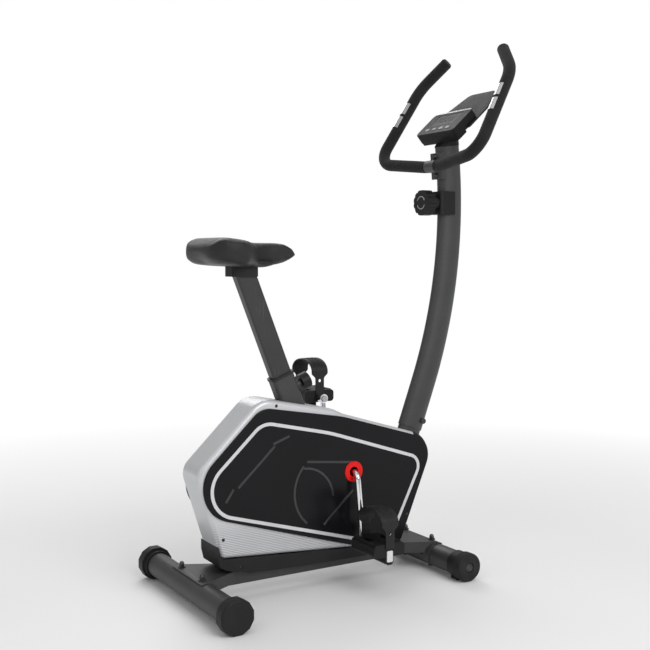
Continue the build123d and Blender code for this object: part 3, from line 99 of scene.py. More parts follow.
# Pattern of the side panels: metres ahead of the rear foot's axis and above the floor
RELIEF_WIDTH = 0.006
RELIEF_RISE = 0.00045
RELIEF_ARCS = (((0.3309, 0.2298), 0.0932, radians(137), radians(93)),
               ((0.2642, 0.2096), 0.0785, radians(4), radians(87)))
RELIEF_BARS = (((0.271, 0.3035), (0.3985, 0.290)), ((0.3987, 0.223), (0.317, 0.1485)),
               ((0.0924, 0.262), (0.186, 0.349)), ((0.0616, 0.2323), (0.0807, 0.2611)),
               ((0.1822, 0.3535), (0.2243, 0.369)))


# ---------------------------------------------------------------- settings
class BikeStageSettings(bpy.types.PropertyGroup):
    """Floor, lights and camera."""

    floor_tone: FloatProperty(name="Floor tone", description="Brightness of the pale floor", default=0.95,
                              min=0, max=1)
    key_power: FloatProperty(name="Key light", description="Power of the main soft light", default=56.0,
                             unit="POWER")
    fill_power: FloatProperty(name="Fill light", description="Power of the fill light", default=9.0,
                              unit="POWER")
    rim_power: FloatProperty(name="Rim light", description="Power of the light behind", default=26.0,
                             unit="POWER")
    sky_strength: FloatProperty(name="Sky strength", description="Strength of the even white sky",
                                default=0.42)
    lens: FloatProperty(name="Lens", description="Focal length of the camera", default=56.44, unit="CAMERA")


class BikeFinishSettings(bpy.types.PropertyGroup):
    """Colours of the bike's finishes."""

    steel: FloatVectorProperty(name="Frame steel", description="Powder coat of the tubes", subtype="COLOR",
                               default=(0.036, 0.0365, 0.037))
    silver: FloatVectorProperty(name="Shell silver", description="Metallic paint of the casing",
                                subtype="COLOR", default=(0.6, 0.61, 0.63))
    gloss: FloatVectorProperty(name="Panel black", description="Gloss black of the side panels",
                               subtype="COLOR", default=(0.006, 0.006, 0.007))
    accent: FloatVectorProperty(name="Accent", description="Ring round the crank", subtype="COLOR",
                                default=(0.78, 0.008, 0.006))
    wear: FloatProperty(name="Wear", description="How far rubbed edges show", default=0.5, min=0, max=1)


class BikeSaddleSettings(bpy.types.PropertyGroup):
    """Padding of the saddle."""

    voxel: FloatProperty(name="Voxel", description="Size of the cover's mesh", default=0.005, unit="LENGTH")
    pressure: FloatProperty(name="Pressure", description="Push of the foam on the cover", default=4.0)
    swell: FloatProperty(name="Swell limit", description="Furthest a point of the cover may move",
                         default=0.007, unit="LENGTH")
    inset: FloatProperty(name="Inset", description="How much smaller the cover starts", default=0.003,
                         unit="LENGTH")
    frames: IntProperty(name="Frames", description="Length of the cloth run", default=20)
    skirt: FloatProperty(name="Skirt", description="How far the cover hangs over the base", default=0.0105,
                         unit="LENGTH")
    nose: FloatProperty(name="Nose", description="How far the nose dips", default=0.012, unit="LENGTH")
    fullness: FloatProperty(name="Fullness", description="Spread of the padding", default=1.05)


# ---------------------------------------------------------------- materials
class Finish:
    """A node material built up in layers on object coordinates."""

    def __init__(self, name, colour, rough, specular=0.5, **sockets):
        self.material = bpy.data.materials.new(name)
        self.material.use_nodes = True
        self.tree = self.material.node_tree
        self.tree.nodes.clear()
        self.shader = self.tree.nodes.new("ShaderNodeBsdfPrincipled")
        self.shader.inputs["Base Color"].default_value = (*colour, 1)
        self.shader.inputs["Roughness"].default_value = rough
        self.shader.inputs["Specular IOR Level"].default_value = specular
        for socket, value in sockets.items():
            self.shader.inputs[socket.replace("_", " ").title()].default_value = value
        output = self.tree.nodes.new("ShaderNodeOutputMaterial")
        self.tree.links.new(self.shader.outputs[0], output.inputs["Surface"])
        self.place = self.tree.nodes.new("ShaderNodeTexCoord").outputs["Object"]
        self.colour = None
        self.base = (*colour, 1)
        self.normal = None

    def node(self, kind, inputs=(), **attributes):
        made = self.tree.nodes.new("ShaderNode" + kind)
        for key, value in attributes.items():
            setattr(made, key, value)
        for key, value in dict(inputs).items():
            if isinstance(value, bpy.types.NodeSocket):
                self.tree.links.new(value, made.inputs[key])
            else:
                made.inputs[key].default_value = value
        return made

    def moved(self, location=(0, 0, 0), turn=(0, 0, 0), stretch=(1, 1, 1)):
        return self.node("Mapping", {"Vector": self.place, "Location": location, "Rotation": turn,
                                     "Scale": stretch}).outputs[0]

    def noise(self, size, detail=3.0, stretch=(1, 1, 1)):
        """Soft noise, size in metres."""
        return self.node("TexNoise", {"Vector": self.moved(stretch=stretch), "Scale": 1 / size,
                                      "Detail": detail}).outputs["Fac"]

    def cells(self, size, feature="F1", stretch=(1, 1, 1)):
        return self.node("TexVoronoi", {"Vector": self.moved(stretch=stretch), "Scale": 1 / size},
                         feature=feature).outputs["Distance"]

    def axis(self, name, vector=None):
        return self.node("SeparateXYZ", {0: vector or self.place}).outputs[name]

    def math(self, operation, *values):
        return self.node("Math", dict(enumerate(values)), operation=operation).outputs[0]

    def span(self, value, low, high, to_low=0.0, to_high=1.0):
        return self.node("MapRange", {"Value": value, "From Min": low, "From Max": high, "To Min": to_low,
                                      "To Max": to_high}).outputs[0]

    def ridges(self, value, pitch):
        """Even waves from 0 to 1 along a length in metres."""
        return self.span(self.math("SINE", self.math("MULTIPLY", value, 2 * pi / pitch)), -1, 1)

    def tint(self, amount, colour):
        """Lay a colour over what is there, by an amount."""
        mixer = self.node("Mix", {0: amount, 6: self.colour or self.base, 7: (*colour, 1)}, data_type="RGBA")
        self.colour = mixer.outputs[2]
        self.tree.links.new(self.colour, self.shader.inputs["Base Color"])

    def roughen(self, amount, low, high):
        self.tree.links.new(self.span(amount, 0, 1, low, high), self.shader.inputs["Roughness"])

    def bump(self, height, depth, strength=1.0):
        inputs = {"Height": height, "Distance": depth, "Strength": strength}
        if self.normal:
            inputs["Normal"] = self.normal
        self.normal = self.node("Bump", inputs).outputs[0]
        self.tree.links.new(self.normal, self.shader.inputs["Normal"])

    def rub(self, radius, colour, amount):
        """Lighter paint along edges that hands and feet rub."""
        soft = self.node("Bevel", {"Radius": radius}, samples=4).outputs[0]
        flat = self.node("NewGeometry").outputs["Normal"]
        facing = self.node("VectorMath", {0: soft, 1: flat}, operation="DOT_PRODUCT").outputs["Value"]
        edge = self.span(facing, 0.98, 0.86)
        patch = self.span(self.noise(0.02, 4), 0.42, 0.62)
        self.tint(self.math("MULTIPLY", self.math("MULTIPLY", edge, patch), amount), colour)


def mottle(finish, colour, size=0.09, amount=0.6):
    finish.tint(finish.span(finish.noise(size, 4), 0.35, 0.7, 0, amount), colour)


def powder_coat(name, colour, wear, rough=(0.36, 0.5)):
    """Satin powder coat with its fine orange peel."""
    coat = Finish(name, colour, rough[0], specular=0.42)
    mottle(coat, [1.35 * tone for tone in colour])
    coat.tint(coat.span(coat.noise(0.0006, 2), 0.62, 0.72, 0, 0.35), [2.2 * tone for tone in colour])
    coat.rub(0.0012, (0.16, 0.16, 0.165), wear)
    coat.roughen(coat.noise(0.05, 5), *rough)
    coat.bump(coat.noise(0.0011, 2), 0.00012)
    coat.bump(coat.noise(0.006, 1), 0.00006)
    return coat


def moulded(name, colour, rough, wear=0.3, grain=0.0009, depth=0.00008, specular=0.24):
    """Moulded plastic with a fine spark texture."""
    plastic = Finish(name, colour, rough, specular)
    mottle(plastic, [1.35 * tone + 0.002 for tone in colour], 0.05)
    plastic.rub(0.0009, [0.06 + tone for tone in colour], wear)
    plastic.roughen(plastic.noise(0.03, 5), rough - 0.06, rough + 0.1)
    plastic.bump(plastic.cells(grain), depth)
    return plastic


def make_finishes(settings):
    """Every finish on the bike, by the name of its slot."""
    wear = settings.wear
    steel = settings.steel
    FINISHES["frame_black"] = powder_coat("frame_powder_coat", steel, wear)

    post = powder_coat("post_powder_coat", [0.75 * tone for tone in steel], wear, (0.3, 0.44))
    post.bump(post.noise(0.0015, 3, (1, 1, 0.05)), 0.00008)
    post.tint(post.span(post.noise(0.002, 2, (1, 1, 0.03)), 0.66, 0.74, 0, 0.35), (0.12, 0.12, 0.12))
    FINISHES["post_black"] = post

    FINISHES["cap_black"] = moulded("end_cap_plastic", (0.012, 0.012, 0.013), 0.46, 0.5)
    FINISHES["pan_plastic"] = moulded("saddle_base_plastic", (0.012, 0.012, 0.012), 0.55)
    FINISHES["bushing_plastic"] = moulded("bushing_nylon", (0.02, 0.02, 0.021), 0.4)
    FINISHES["knob_plastic"] = moulded("knob_plastic", (0.007, 0.007, 0.0075), 0.4, 0.5)
    FINISHES["console_plastic"] = moulded("console_plastic", (0.009, 0.009, 0.01), 0.4, 0.3, 0.0006, 0.00004,
                                          specular=0.16)
    FINISHES["shelf_plastic"] = moulded("shelf_plastic", (0.02, 0.02, 0.021), 0.46, 0.4, 0.0006, 0.00004,
                                        specular=0.1)
    FINISHES["pedal_plastic"] = moulded("pedal_plastic", (0.01, 0.01, 0.011), 0.5, 0.8)
    FINISHES["button_plastic"] = moulded("button_plastic", (0.3, 0.31, 0.32), 0.45)
    FINISHES["cable_housing"] = moulded("cable_housing", (0.012, 0.012, 0.012), 0.4)
    FINISHES["pulley_plastic"] = moulded("pulley_nylon", (0.03, 0.03, 0.03), 0.45)

    rubber = Finish("wheel_rubber", (0.012, 0.012, 0.013), 0.7, specular=0.3)
    mottle(rubber, (0.03, 0.029, 0.028), 0.02)
    rubber.tint(rubber.span(rubber.noise(0.004, 5), 0.6, 0.75, 0, 0.4), (0.06, 0.057, 0.052))
    rubber.roughen(rubber.noise(0.01), 0.6, 0.85)
    rubber.bump(rubber.noise(0.0015, 4), 0.00015)
    FINISHES["wheel_rubber"] = rubber
    FINISHES["belt_rubber"] = rubber

    bolt = Finish("bolt_black_zinc", (0.05, 0.05, 0.052), 0.34, Metallic=0.85)
    mottle(bolt, (0.11, 0.11, 0.105), 0.006)
    bolt.rub(0.0006, (0.4, 0.4, 0.4), wear)
    bolt.roughen(bolt.noise(0.004, 4), 0.25, 0.45)
    bolt.bump(bolt.noise(0.0008, 3), 0.00006)
    FINISHES["bolt_black"] = bolt

    cover = Finish("saddle_leatherette", (0.01, 0.01, 0.011), 0.44, specular=0.35)
    mottle(cover, (0.022, 0.021, 0.021), 0.06)
    creases = cover.cells(0.0021, "DISTANCE_TO_EDGE")
    # Painted shade: the creases of the grain are painted darker, and the bump below presses the same creases
    # in.
    cover.tint(cover.span(creases, 0.09, 0.0, 0, 0.5), (0.004, 0.004, 0.004))
    cover.roughen(cover.noise(0.04, 5), 0.34, 0.52)
    cover.bump(cover.span(creases, 0, 0.16), 0.00022)
    cover.bump(cover.noise(0.0008, 3), 0.00006)
    cover.bump(cover.noise(0.02, 2), 0.0005, 0.6)
    FINISHES["saddle_cover"] = cover

    foam = Finish("grip_foam", (0.009, 0.009, 0.0095), 0.85, specular=0.25, Sheen_weight=0.08,
                  Sheen_roughness=0.5)
    mottle(foam, (0.018, 0.018, 0.018), 0.03)
    pores = foam.cells(0.0007)
    # Painted shade: the pores are painted darker, and the same pores are pressed in by the bump.
    foam.tint(foam.span(pores, 0.25, 0.05, 0, 0.7), (0.002, 0.002, 0.002))
    foam.bump(pores, 0.00025)
    foam.bump(foam.noise(0.005, 3), 0.0003)
    foam.roughen(foam.noise(0.01, 3), 0.75, 0.95)
    FINISHES["grip_foam"] = foam

    sensor = Finish("sensor_brushed_steel", (0.6, 0.6, 0.61), 0.25, Metallic=1.0)
    grain = sensor.noise(0.0006, 3, (1, 1, 0.04))
    sensor.tint(sensor.span(grain, 0.4, 0.7, 0, 0.4), (0.35, 0.35, 0.36))
    sensor.roughen(grain, 0.18, 0.38)
    sensor.bump(grain, 0.00003)
    FINISHES["sensor_steel"] = sensor

    glass = Finish("display_glass", (0.05, 0.058, 0.051), 0.34, specular=0.1)
    mottle(glass, (0.038, 0.045, 0.039), 0.012, 0.5)
    glass.tint(glass.span(glass.noise(0.0004, 1), 0.55, 0.7, 0, 0.25), (0.028, 0.033, 0.028))
    glass.roughen(glass.noise(0.02, 4), 0.28, 0.42)
    FINISHES["display_glass"] = glass

    chrome = Finish("crank_chrome", (0.78, 0.78, 0.8), 0.07, Metallic=1.0)
    chrome.tint(chrome.span(chrome.noise(0.012, 5), 0.5, 0.75, 0, 0.35), (0.5, 0.5, 0.51))
    chrome.roughen(chrome.noise(0.008, 5), 0.04, 0.16)
    chrome.bump(chrome.noise(0.01, 2), 0.00006)
    FINISHES["crank_chrome"] = chrome

    zinc = Finish("zinc_plate", (0.5, 0.5, 0.51), 0.3, Metallic=1.0)
    zinc.tint(zinc.span(zinc.cells(0.004), 0.2, 0.6, 0, 0.4), (0.36, 0.37, 0.39))
    zinc.roughen(zinc.noise(0.01, 4), 0.22, 0.42)
    zinc.bump(zinc.noise(0.001, 3), 0.00004)
    FINISHES["bearing_steel"] = zinc

    iron = Finish("flywheel_iron", (0.13, 0.13, 0.14), 0.45, Metallic=0.9)
    mottle(iron, (0.2, 0.19, 0.18), 0.03)
    iron.roughen(iron.noise(0.01, 4), 0.35, 0.55)
    iron.bump(iron.noise(0.0008, 4), 0.0001)
    FINISHES["flywheel_iron"] = iron

    reflector = Finish("reflector_prisms", (0.78, 0.78, 0.76), 0.12, Coat_weight=0.8, Coat_roughness=0.05)
    facets = reflector.cells(0.0022, "DISTANCE_TO_EDGE")
    # Painted shade: the grooves between the prism facets are painted darker, and the same grooves are pressed
    # in by the bump.
    reflector.tint(reflector.span(facets, 0.2, 0, 0, 0.5), (0.45, 0.45, 0.45))
    reflector.bump(facets, 0.0005)
    FINISHES["reflector_white"] = reflector

    strap = Finish("strap_rubber", (0.012, 0.012, 0.0125), 0.5, specular=0.3)
    mottle(strap, (0.02, 0.02, 0.02), 0.02)
    strap.rub(0.0008, (0.07, 0.07, 0.07), wear)
    strap.roughen(strap.noise(0.01, 4), 0.42, 0.6)
    strap.bump(strap.ridges(strap.axis("X"), 0.004), 0.0005)
    strap.bump(strap.noise(0.0008, 3), 0.00008)
    FINISHES["strap_rubber"] = strap

    make_casing_finishes(settings)


def make_casing_finishes(settings):
    """Metallic silver of the shell, gloss black of the panels and their trims."""
    shell = Finish("shell_metallic_silver", settings.silver, 0.36, Metallic=0.3, Coat_weight=0.2,
                   Coat_roughness=0.2)
    shell.tint(shell.span(shell.cells(0.0005), 0.15, 0.5, 0, 0.25), (0.7, 0.71, 0.72))
    shell.tint(shell.span(shell.noise(0.12, 3), 0.4, 0.7, 0, 0.3), (0.52, 0.53, 0.55))
    height = shell.axis("Z")
    band = shell.span(height, 0.19, 0.15)
    lines = shell.ridges(height, 0.004)
    # Painted shade: the grooves between the fine ridges low on the shell are painted darker, and the same
    # ridges are pressed in by the bump.
    shell.tint(shell.math("MULTIPLY", band, shell.span(lines, 0.5, 0.1, 0, 0.7)), (0.2, 0.2, 0.21))
    shell.bump(shell.math("MULTIPLY", band, lines), 0.0005)
    shell.bump(shell.noise(0.0009, 2), 0.00003)
    shell.roughen(shell.noise(0.05, 5), 0.3, 0.42)
    FINISHES["shell_silver"] = shell

    panel = Finish("panel_gloss_black", settings.gloss, 0.24, specular=0.16)
    mottle(panel, [1.5 * tone for tone in settings.gloss], 0.14, 0.5)
    panel.tint(panel.span(panel.noise(0.0005, 1), 0.68, 0.75, 0, 0.2), (0.05, 0.05, 0.05))
    panel.bump(panel.noise(0.0012, 2), 0.00002)
    panel.roughen(panel.noise(0.06, 6), 0.18, 0.3)
    FINISHES["panel_black"] = panel

    # Painted highlight: the ribs of the panels' relief are moulded in the same gloss black, painted lighter
    # here to stand in for the highlights on their flanks.
    pattern = Finish("panel_pattern_gloss", (0.022, 0.022, 0.024), 0.2, specular=0.5)
    mottle(pattern, (0.03, 0.03, 0.032), 0.05)
    pattern.roughen(pattern.noise(0.03, 4), 0.14, 0.26)
    pattern.bump(pattern.noise(0.0012, 2), 0.00002)
    FINISHES["panel_pattern"] = pattern

    stripe = Finish("stripe_silver", (0.68, 0.685, 0.7), 0.3, Metallic=0.3, Coat_weight=0.2)
    mottle(stripe, (0.58, 0.585, 0.6), 0.05)
    stripe.roughen(stripe.noise(0.02, 4), 0.24, 0.36)
    stripe.bump(stripe.noise(0.0008, 2), 0.00002)
    FINISHES["stripe_silver"] = stripe

    ring = Finish("ring_gloss_red", settings.accent, 0.3, specular=0.2)
    mottle(ring, (0.66, 0.007, 0.006), 0.01)
    ring.rub(0.0008, (0.75, 0.12, 0.1), settings.wear)
    ring.roughen(ring.noise(0.01, 4), 0.14, 0.28)
    ring.bump(ring.noise(0.0009, 2), 0.00003)
    FINISHES["ring_red"] = ring


# ---------------------------------------------------------------- modelling helpers
def body_of(node):
    return frame["nodes"][node]["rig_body"]


def rear_axis_x():
    """Where the rear floor tube's axis stands along the bike."""
    low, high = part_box("rear_foot_tube")
    return (low.x + high.x) / 2


def settle(name, shape, body, slot, finish=None, smooth=radians(35)):
    """Turn a bmesh into a piece that rides on a body."""
    bmesh.ops.recalc_face_normals(shape, faces=shape.faces)
    return store(name, shape, body, slot, finish, smooth)


def store(name, shape, body, slot, finish=None, smooth=radians(35)):
    """Save a bmesh whose faces already point outward."""
    for face in shape.faces:
        face.smooth = True
    for edge in shape.edges:
        edge.smooth = len(edge.link_faces) == 2 and edge.calc_face_angle(0) < smooth
    mesh = bpy.data.meshes.new(name)
    shape.to_mesh(mesh)
    shape.free()
    piece = bpy.data.objects.new(name, mesh)
    bpy.context.scene.collection.objects.link(piece)
    mesh.materials.append((finish or FINISHES[slot]).material)
    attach(piece, body)
    return piece


def dress(node, edge=0.0008, finish=None):
    """A finely shaded skin in a node's exact shape, with its sharp edges broken."""
    shape = bmesh.new()
    shape.from_mesh(frame["nodes"][node].data)
    bmesh.ops.remove_doubles(shape, verts=shape.verts, dist=0.00001)
    bmesh.ops.dissolve_limit(shape, angle_limit=radians(0.4), verts=shape.verts, edges=shape.edges)
    piece = store(f"{node}_skin", shape, body_of(node), SLOTS[node], finish)
    if edge:
        rounding = piece.modifiers.new("edge_break", "BEVEL")
        rounding.width = edge
        rounding.segments = 2
        rounding.limit_method = "ANGLE"
        rounding.angle_limit = radians(38)
        rounding.harden_normals = True
    facing = piece.modifiers.new("facing", "WEIGHTED_NORMAL")
    facing.keep_sharp = True
    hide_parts(node)
    return piece


def turned(profile, centre, axis, steps=48):
    """Solid of revolution from (radius, along) points about an axis through centre."""
    shape = bmesh.new()
    points = [shape.verts.new((radius, 0, along)) for radius, along in profile]
    edges = [shape.edges.new(pair) for pair in zip(points, points[1:])]
    bmesh.ops.spin(shape, geom=points + edges, cent=(0, 0, 0), axis=(0, 0, 1), angle=2 * pi, steps=steps,
                   use_merge=True)
    bmesh.ops.remove_doubles(shape, verts=shape.verts, dist=0.000001)
    turn = Vector((0, 0, 1)).rotation_difference(Vector(axis)).to_matrix().to_4x4()
    bmesh.ops.transform(shape, matrix=Matrix.Translation(centre) @ turn, verts=shape.verts)
    return shape


def block(shape, centre, size, turn=None, bevel=0.0):
    """Add a bevelled block to a shape."""
    made = bmesh.ops.create_cube(shape, size=1.0)["verts"]
    bmesh.ops.scale(shape, vec=size, verts=made)
    if bevel:
        edges = list({edge for vert in made for edge in vert.link_edges})
        rounded = bmesh.ops.bevel(shape, geom=edges, offset=bevel, segments=2, profile=0.5, affect="EDGES",
                                  material=-1)
        made = list({vert for face in rounded["faces"] for vert in face.verts}
                    | {vert for vert in made if vert.is_valid})
    place = Matrix.Translation(centre)
    if turn is not None:
        place = place @ turn.to_4x4()
    bmesh.ops.transform(shape, matrix=place, verts=made)


def arc_mark(shape, centre, radius, width, start, sweep, thick, steps=24):
    """Add a flat curved bar in a plane across X, seen from the rear."""
    first = Vector((0, cos(start), sin(start)))
    corners = [shape.verts.new(Vector(centre) + first * (radius + out) + Vector((along, 0, 0)))
               for out, along in ((-width / 2, 0), (width / 2, 0), (width / 2, -thick), (-width / 2, -thick))]
    face = shape.faces.new(corners)
    bmesh.ops.spin(shape, geom=[face, *face.verts, *face.edges], cent=centre, axis=(1, 0, 0), angle=sweep,
                   steps=steps)


def arc_rib(shape, centre, radius, start, sweep, side):
    """Add a low curved rib in a plane across Y, with sloping flanks."""
    first = Vector((cos(start), 0, sin(start)))
    foot = RELIEF_WIDTH / 2
    crest = foot - RELIEF_RISE
    corners = [shape.verts.new(centre + first * (radius + out) + Vector((0, side * proud, 0)))
               for out, proud in ((-foot, -RELIEF_RISE), (foot, -RELIEF_RISE), (crest, RELIEF_RISE),
                                  (-crest, RELIEF_RISE))]
    face = shape.faces.new(corners)
    bmesh.ops.spin(shape, geom=[face, *face.verts, *face.edges], cent=centre, axis=(0, -1, 0), angle=sweep,
                   steps=40)


# ---------------------------------------------------------------- operators
class BIKE_OT_finishes(bpy.types.Operator):
    """Mix the bike's finishes and coat the pieces that stay as they are."""

    bl_idname = "bike.finishes"
    bl_label = "Mix finishes"

    def execute(self, context):
        make_finishes(context.scene.bike_finishes)
        for node, part in frame["nodes"].items():
            part.data.materials.clear()
            part.data.materials.append(FINISHES[SLOTS[node]].material)
        return {"FINISHED"}


class BIKE_OT_stage(bpy.types.Operator):
    """Lay the pale floor, set the soft lights and stand the camera."""

    bl_idname = "bike.stage"
    bl_label = "Set the stage"

    def execute(self, context):
        settings = context.scene.bike_stage
        self.lay_floor(settings)
        for name, power, place, size in (
            ("key_light", settings.key_power, (0.3, -2.9, 2.3), 2.2),
            ("fill_light", settings.fill_power, (-2.6, -1.2, 2.2), 2.0),
            ("rim_light", settings.rim_power, (0.6, 2.4, 2.4), 1.8),
            ("top_light", settings.fill_power, (0.0, 0.0, 3.2), 2.4),
        ):
            light = bpy.data.lights.new(name, "AREA")
            light.energy = power
            light.size = size
            lamp = bpy.data.objects.new(name, light)
            lamp.location = place
            lamp.rotation_euler = (Vector((0, 0, 0.6)) - lamp.location).to_track_quat("-Z", "Y").to_euler()
            context.scene.collection.objects.link(lamp)
        world = bpy.data.worlds.new("studio_sky")
        world.use_nodes = True
        nodes = world.node_tree.nodes
        links = world.node_tree.links
        glow = nodes["Background"]
        glow.inputs["Color"].default_value = (1, 1, 1, 1)
        glow.inputs["Strength"].default_value = settings.sky_strength
        backdrop = nodes.new("ShaderNodeBackground")
        backdrop.inputs["Strength"].default_value = 1.0
        backdrop.inputs["Color"].default_value = (1, 1, 1, 1)
        seen = nodes.new("ShaderNodeMixShader")
        links.new(nodes.new("ShaderNodeLightPath").outputs["Is Camera Ray"], seen.inputs[0])
        links.new(glow.outputs[0], seen.inputs[1])
        links.new(backdrop.outputs[0], seen.inputs[2])
        links.new(seen.outputs[0], nodes["World Output"].inputs["Surface"])
        context.scene.world = world
        context.scene.view_settings.view_transform = "Standard"
        lens = bpy.data.cameras.new("view")
        lens.lens = settings.lens
        lens.sensor_width = 36.0
        camera = bpy.data.objects.new("view", lens)
        ahead, across, up = CAMERA_PLACE
        camera.location = (rear_axis_x() + ahead, across, up)
        camera.rotation_euler = (radians(90 - CAMERA_TILT), 0, radians(-CAMERA_TURN))
        context.scene.collection.objects.link(camera)
        context.scene.camera = camera
        return {"FINISHED"}

    def lay_floor(self, settings):
        shape = bmesh.new()
        bmesh.ops.create_circle(shape, cap_ends=True, segments=96, radius=14.0)
        mesh = bpy.data.meshes.new("floor")
        shape.to_mesh(mesh)
        shape.free()
        floor = bpy.data.objects.new("floor", mesh)
        bpy.context.scene.collection.objects.link(floor)
        tone = settings.floor_tone
        paint = Finish("floor_paint", (tone, tone, tone), 0.6)
        away = paint.node("VectorMath", {0: paint.place}, operation="LENGTH").outputs["Value"]
        glow = paint.node("Emission", {"Color": (1, 1, 1, 1), "Strength": 1.0})
        fade = paint.node("MixShader", {0: paint.span(away, 0.8, 2.4), 1: paint.shader.outputs[0],
                                        2: glow.outputs[0]})
        output = next(node for node in paint.tree.nodes if node.type == "OUTPUT_MATERIAL")
        paint.tree.links.new(fade.outputs[0], output.inputs["Surface"])
        mesh.materials.append(paint.material)


class BIKE_OT_frame(bpy.types.Operator):
    """Powder-coated tubes, brackets, post and their bolts."""

    bl_idname = "bike.frame"
    bl_label = "Finish the frame"

    def execute(self, context):
        for node in ("rear_foot_bracket", "front_foot_bracket", "main_beam", "seat_sleeve", "seat_post",
                     "mast_stub", "mast", "bar_clamp"):
            dress(node, 0.0008)
        for node in ("rear_foot_tube", "front_foot_tube", "handlebar"):
            dress(node, 0.0)
        for node in ("foot_bolts", "mast_bolts", "post_bushing", "pop_pin"):
            dress(node, 0.0004)
        return {"FINISHED"}


class BIKE_OT_feet(bpy.types.Operator):
    """Levelling caps, wheel caps and transport wheels."""

    bl_idname = "bike.feet"
    bl_label = "Finish the feet"

    def execute(self, context):
        for node in ("level_cap_right", "level_cap_left", "front_caps", "transport_wheel_right",
                     "transport_wheel_left"):
            dress(node, 0.0012)
        return {"FINISHED"}


class BIKE_OT_casing(bpy.types.Operator):
    """Silver shell, gloss panels, pinstripes, belly pan, rings and screws."""

    bl_idname = "bike.casing"
    bl_label = "Finish the casing"

    def execute(self, context):
        for node in ("casing_right", "casing_left", "front_cover", "belly_pan"):
            dress(node, 0.0)
        for node in ("side_panel_right", "side_panel_left", "pinstripes", "crank_rings"):
            dress(node, 0.0003)
        self.screws()
        for side in (1, -1):
            self.relief(side)
        return {"FINISHED"}

    def relief(self, side):
        """Low ribs of the pattern moulded in a side panel."""
        name = "side_panel_left" if side > 0 else "side_panel_right"
        low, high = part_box(name)
        face_y = high.y if side > 0 else low.y
        rear_x = rear_axis_x()
        shape = bmesh.new()
        for (ahead, up), radius, start, sweep in RELIEF_ARCS:
            arc_rib(shape, Vector((rear_x + ahead, face_y, up)), radius, start, sweep, side)
        for (ahead, up), (end_ahead, end_up) in RELIEF_BARS:
            middle = Vector((rear_x + (ahead + end_ahead) / 2, face_y, (up + end_up) / 2))
            run = Vector((end_ahead - ahead, 0, end_up - up))
            turn = Vector((1, 0, 0)).rotation_difference(run).to_matrix()
            block(shape, middle, (run.length, 2 * RELIEF_RISE, RELIEF_WIDTH), turn, RELIEF_RISE * 0.6)
        # The ribs take the lighter black, a painted highlight on the panel's relief.
        settle(f"{name}_relief", shape, body_of(name), SLOTS[name], FINISHES["panel_pattern"])

    def screws(self):
        """Domed heads, one in each pocket, each with dark crossed bars on its dome as painted shade for the
        cross recess.
        """
        rear_x = rear_axis_x()
        beam_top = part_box("main_beam")[1].z
        heads = bmesh.new()
        recess_shade = bmesh.new()
        for ahead, up, out in SCREWS:
            for side in (-1, 1):
                face = Vector((rear_x + ahead, side * (out - 0.0013), beam_top + up))
                head = turned(SCREW_HEAD, face, (0, side, 0), 24)
                merged = bpy.data.meshes.new("head")
                head.to_mesh(merged)
                head.free()
                heads.from_mesh(merged)
                bpy.data.meshes.remove(merged)
                # Two crossed dark bars on each dome stand in for the cross recess: painted shade, not a cut
                # hollow.
                for turn in (20, 110):
                    block(recess_shade, face + Vector((0, side * 0.001, 0)), (0.0044, 0.0006, 0.0009),
                          Matrix.Rotation(radians(turn), 3, "Y"))
        piece = settle("casing_screw_heads", heads, "frame", "bolt_black")
        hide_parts("casing_screws")
        settle("casing_screw_recess_shade", recess_shade, "frame", "cap_black")


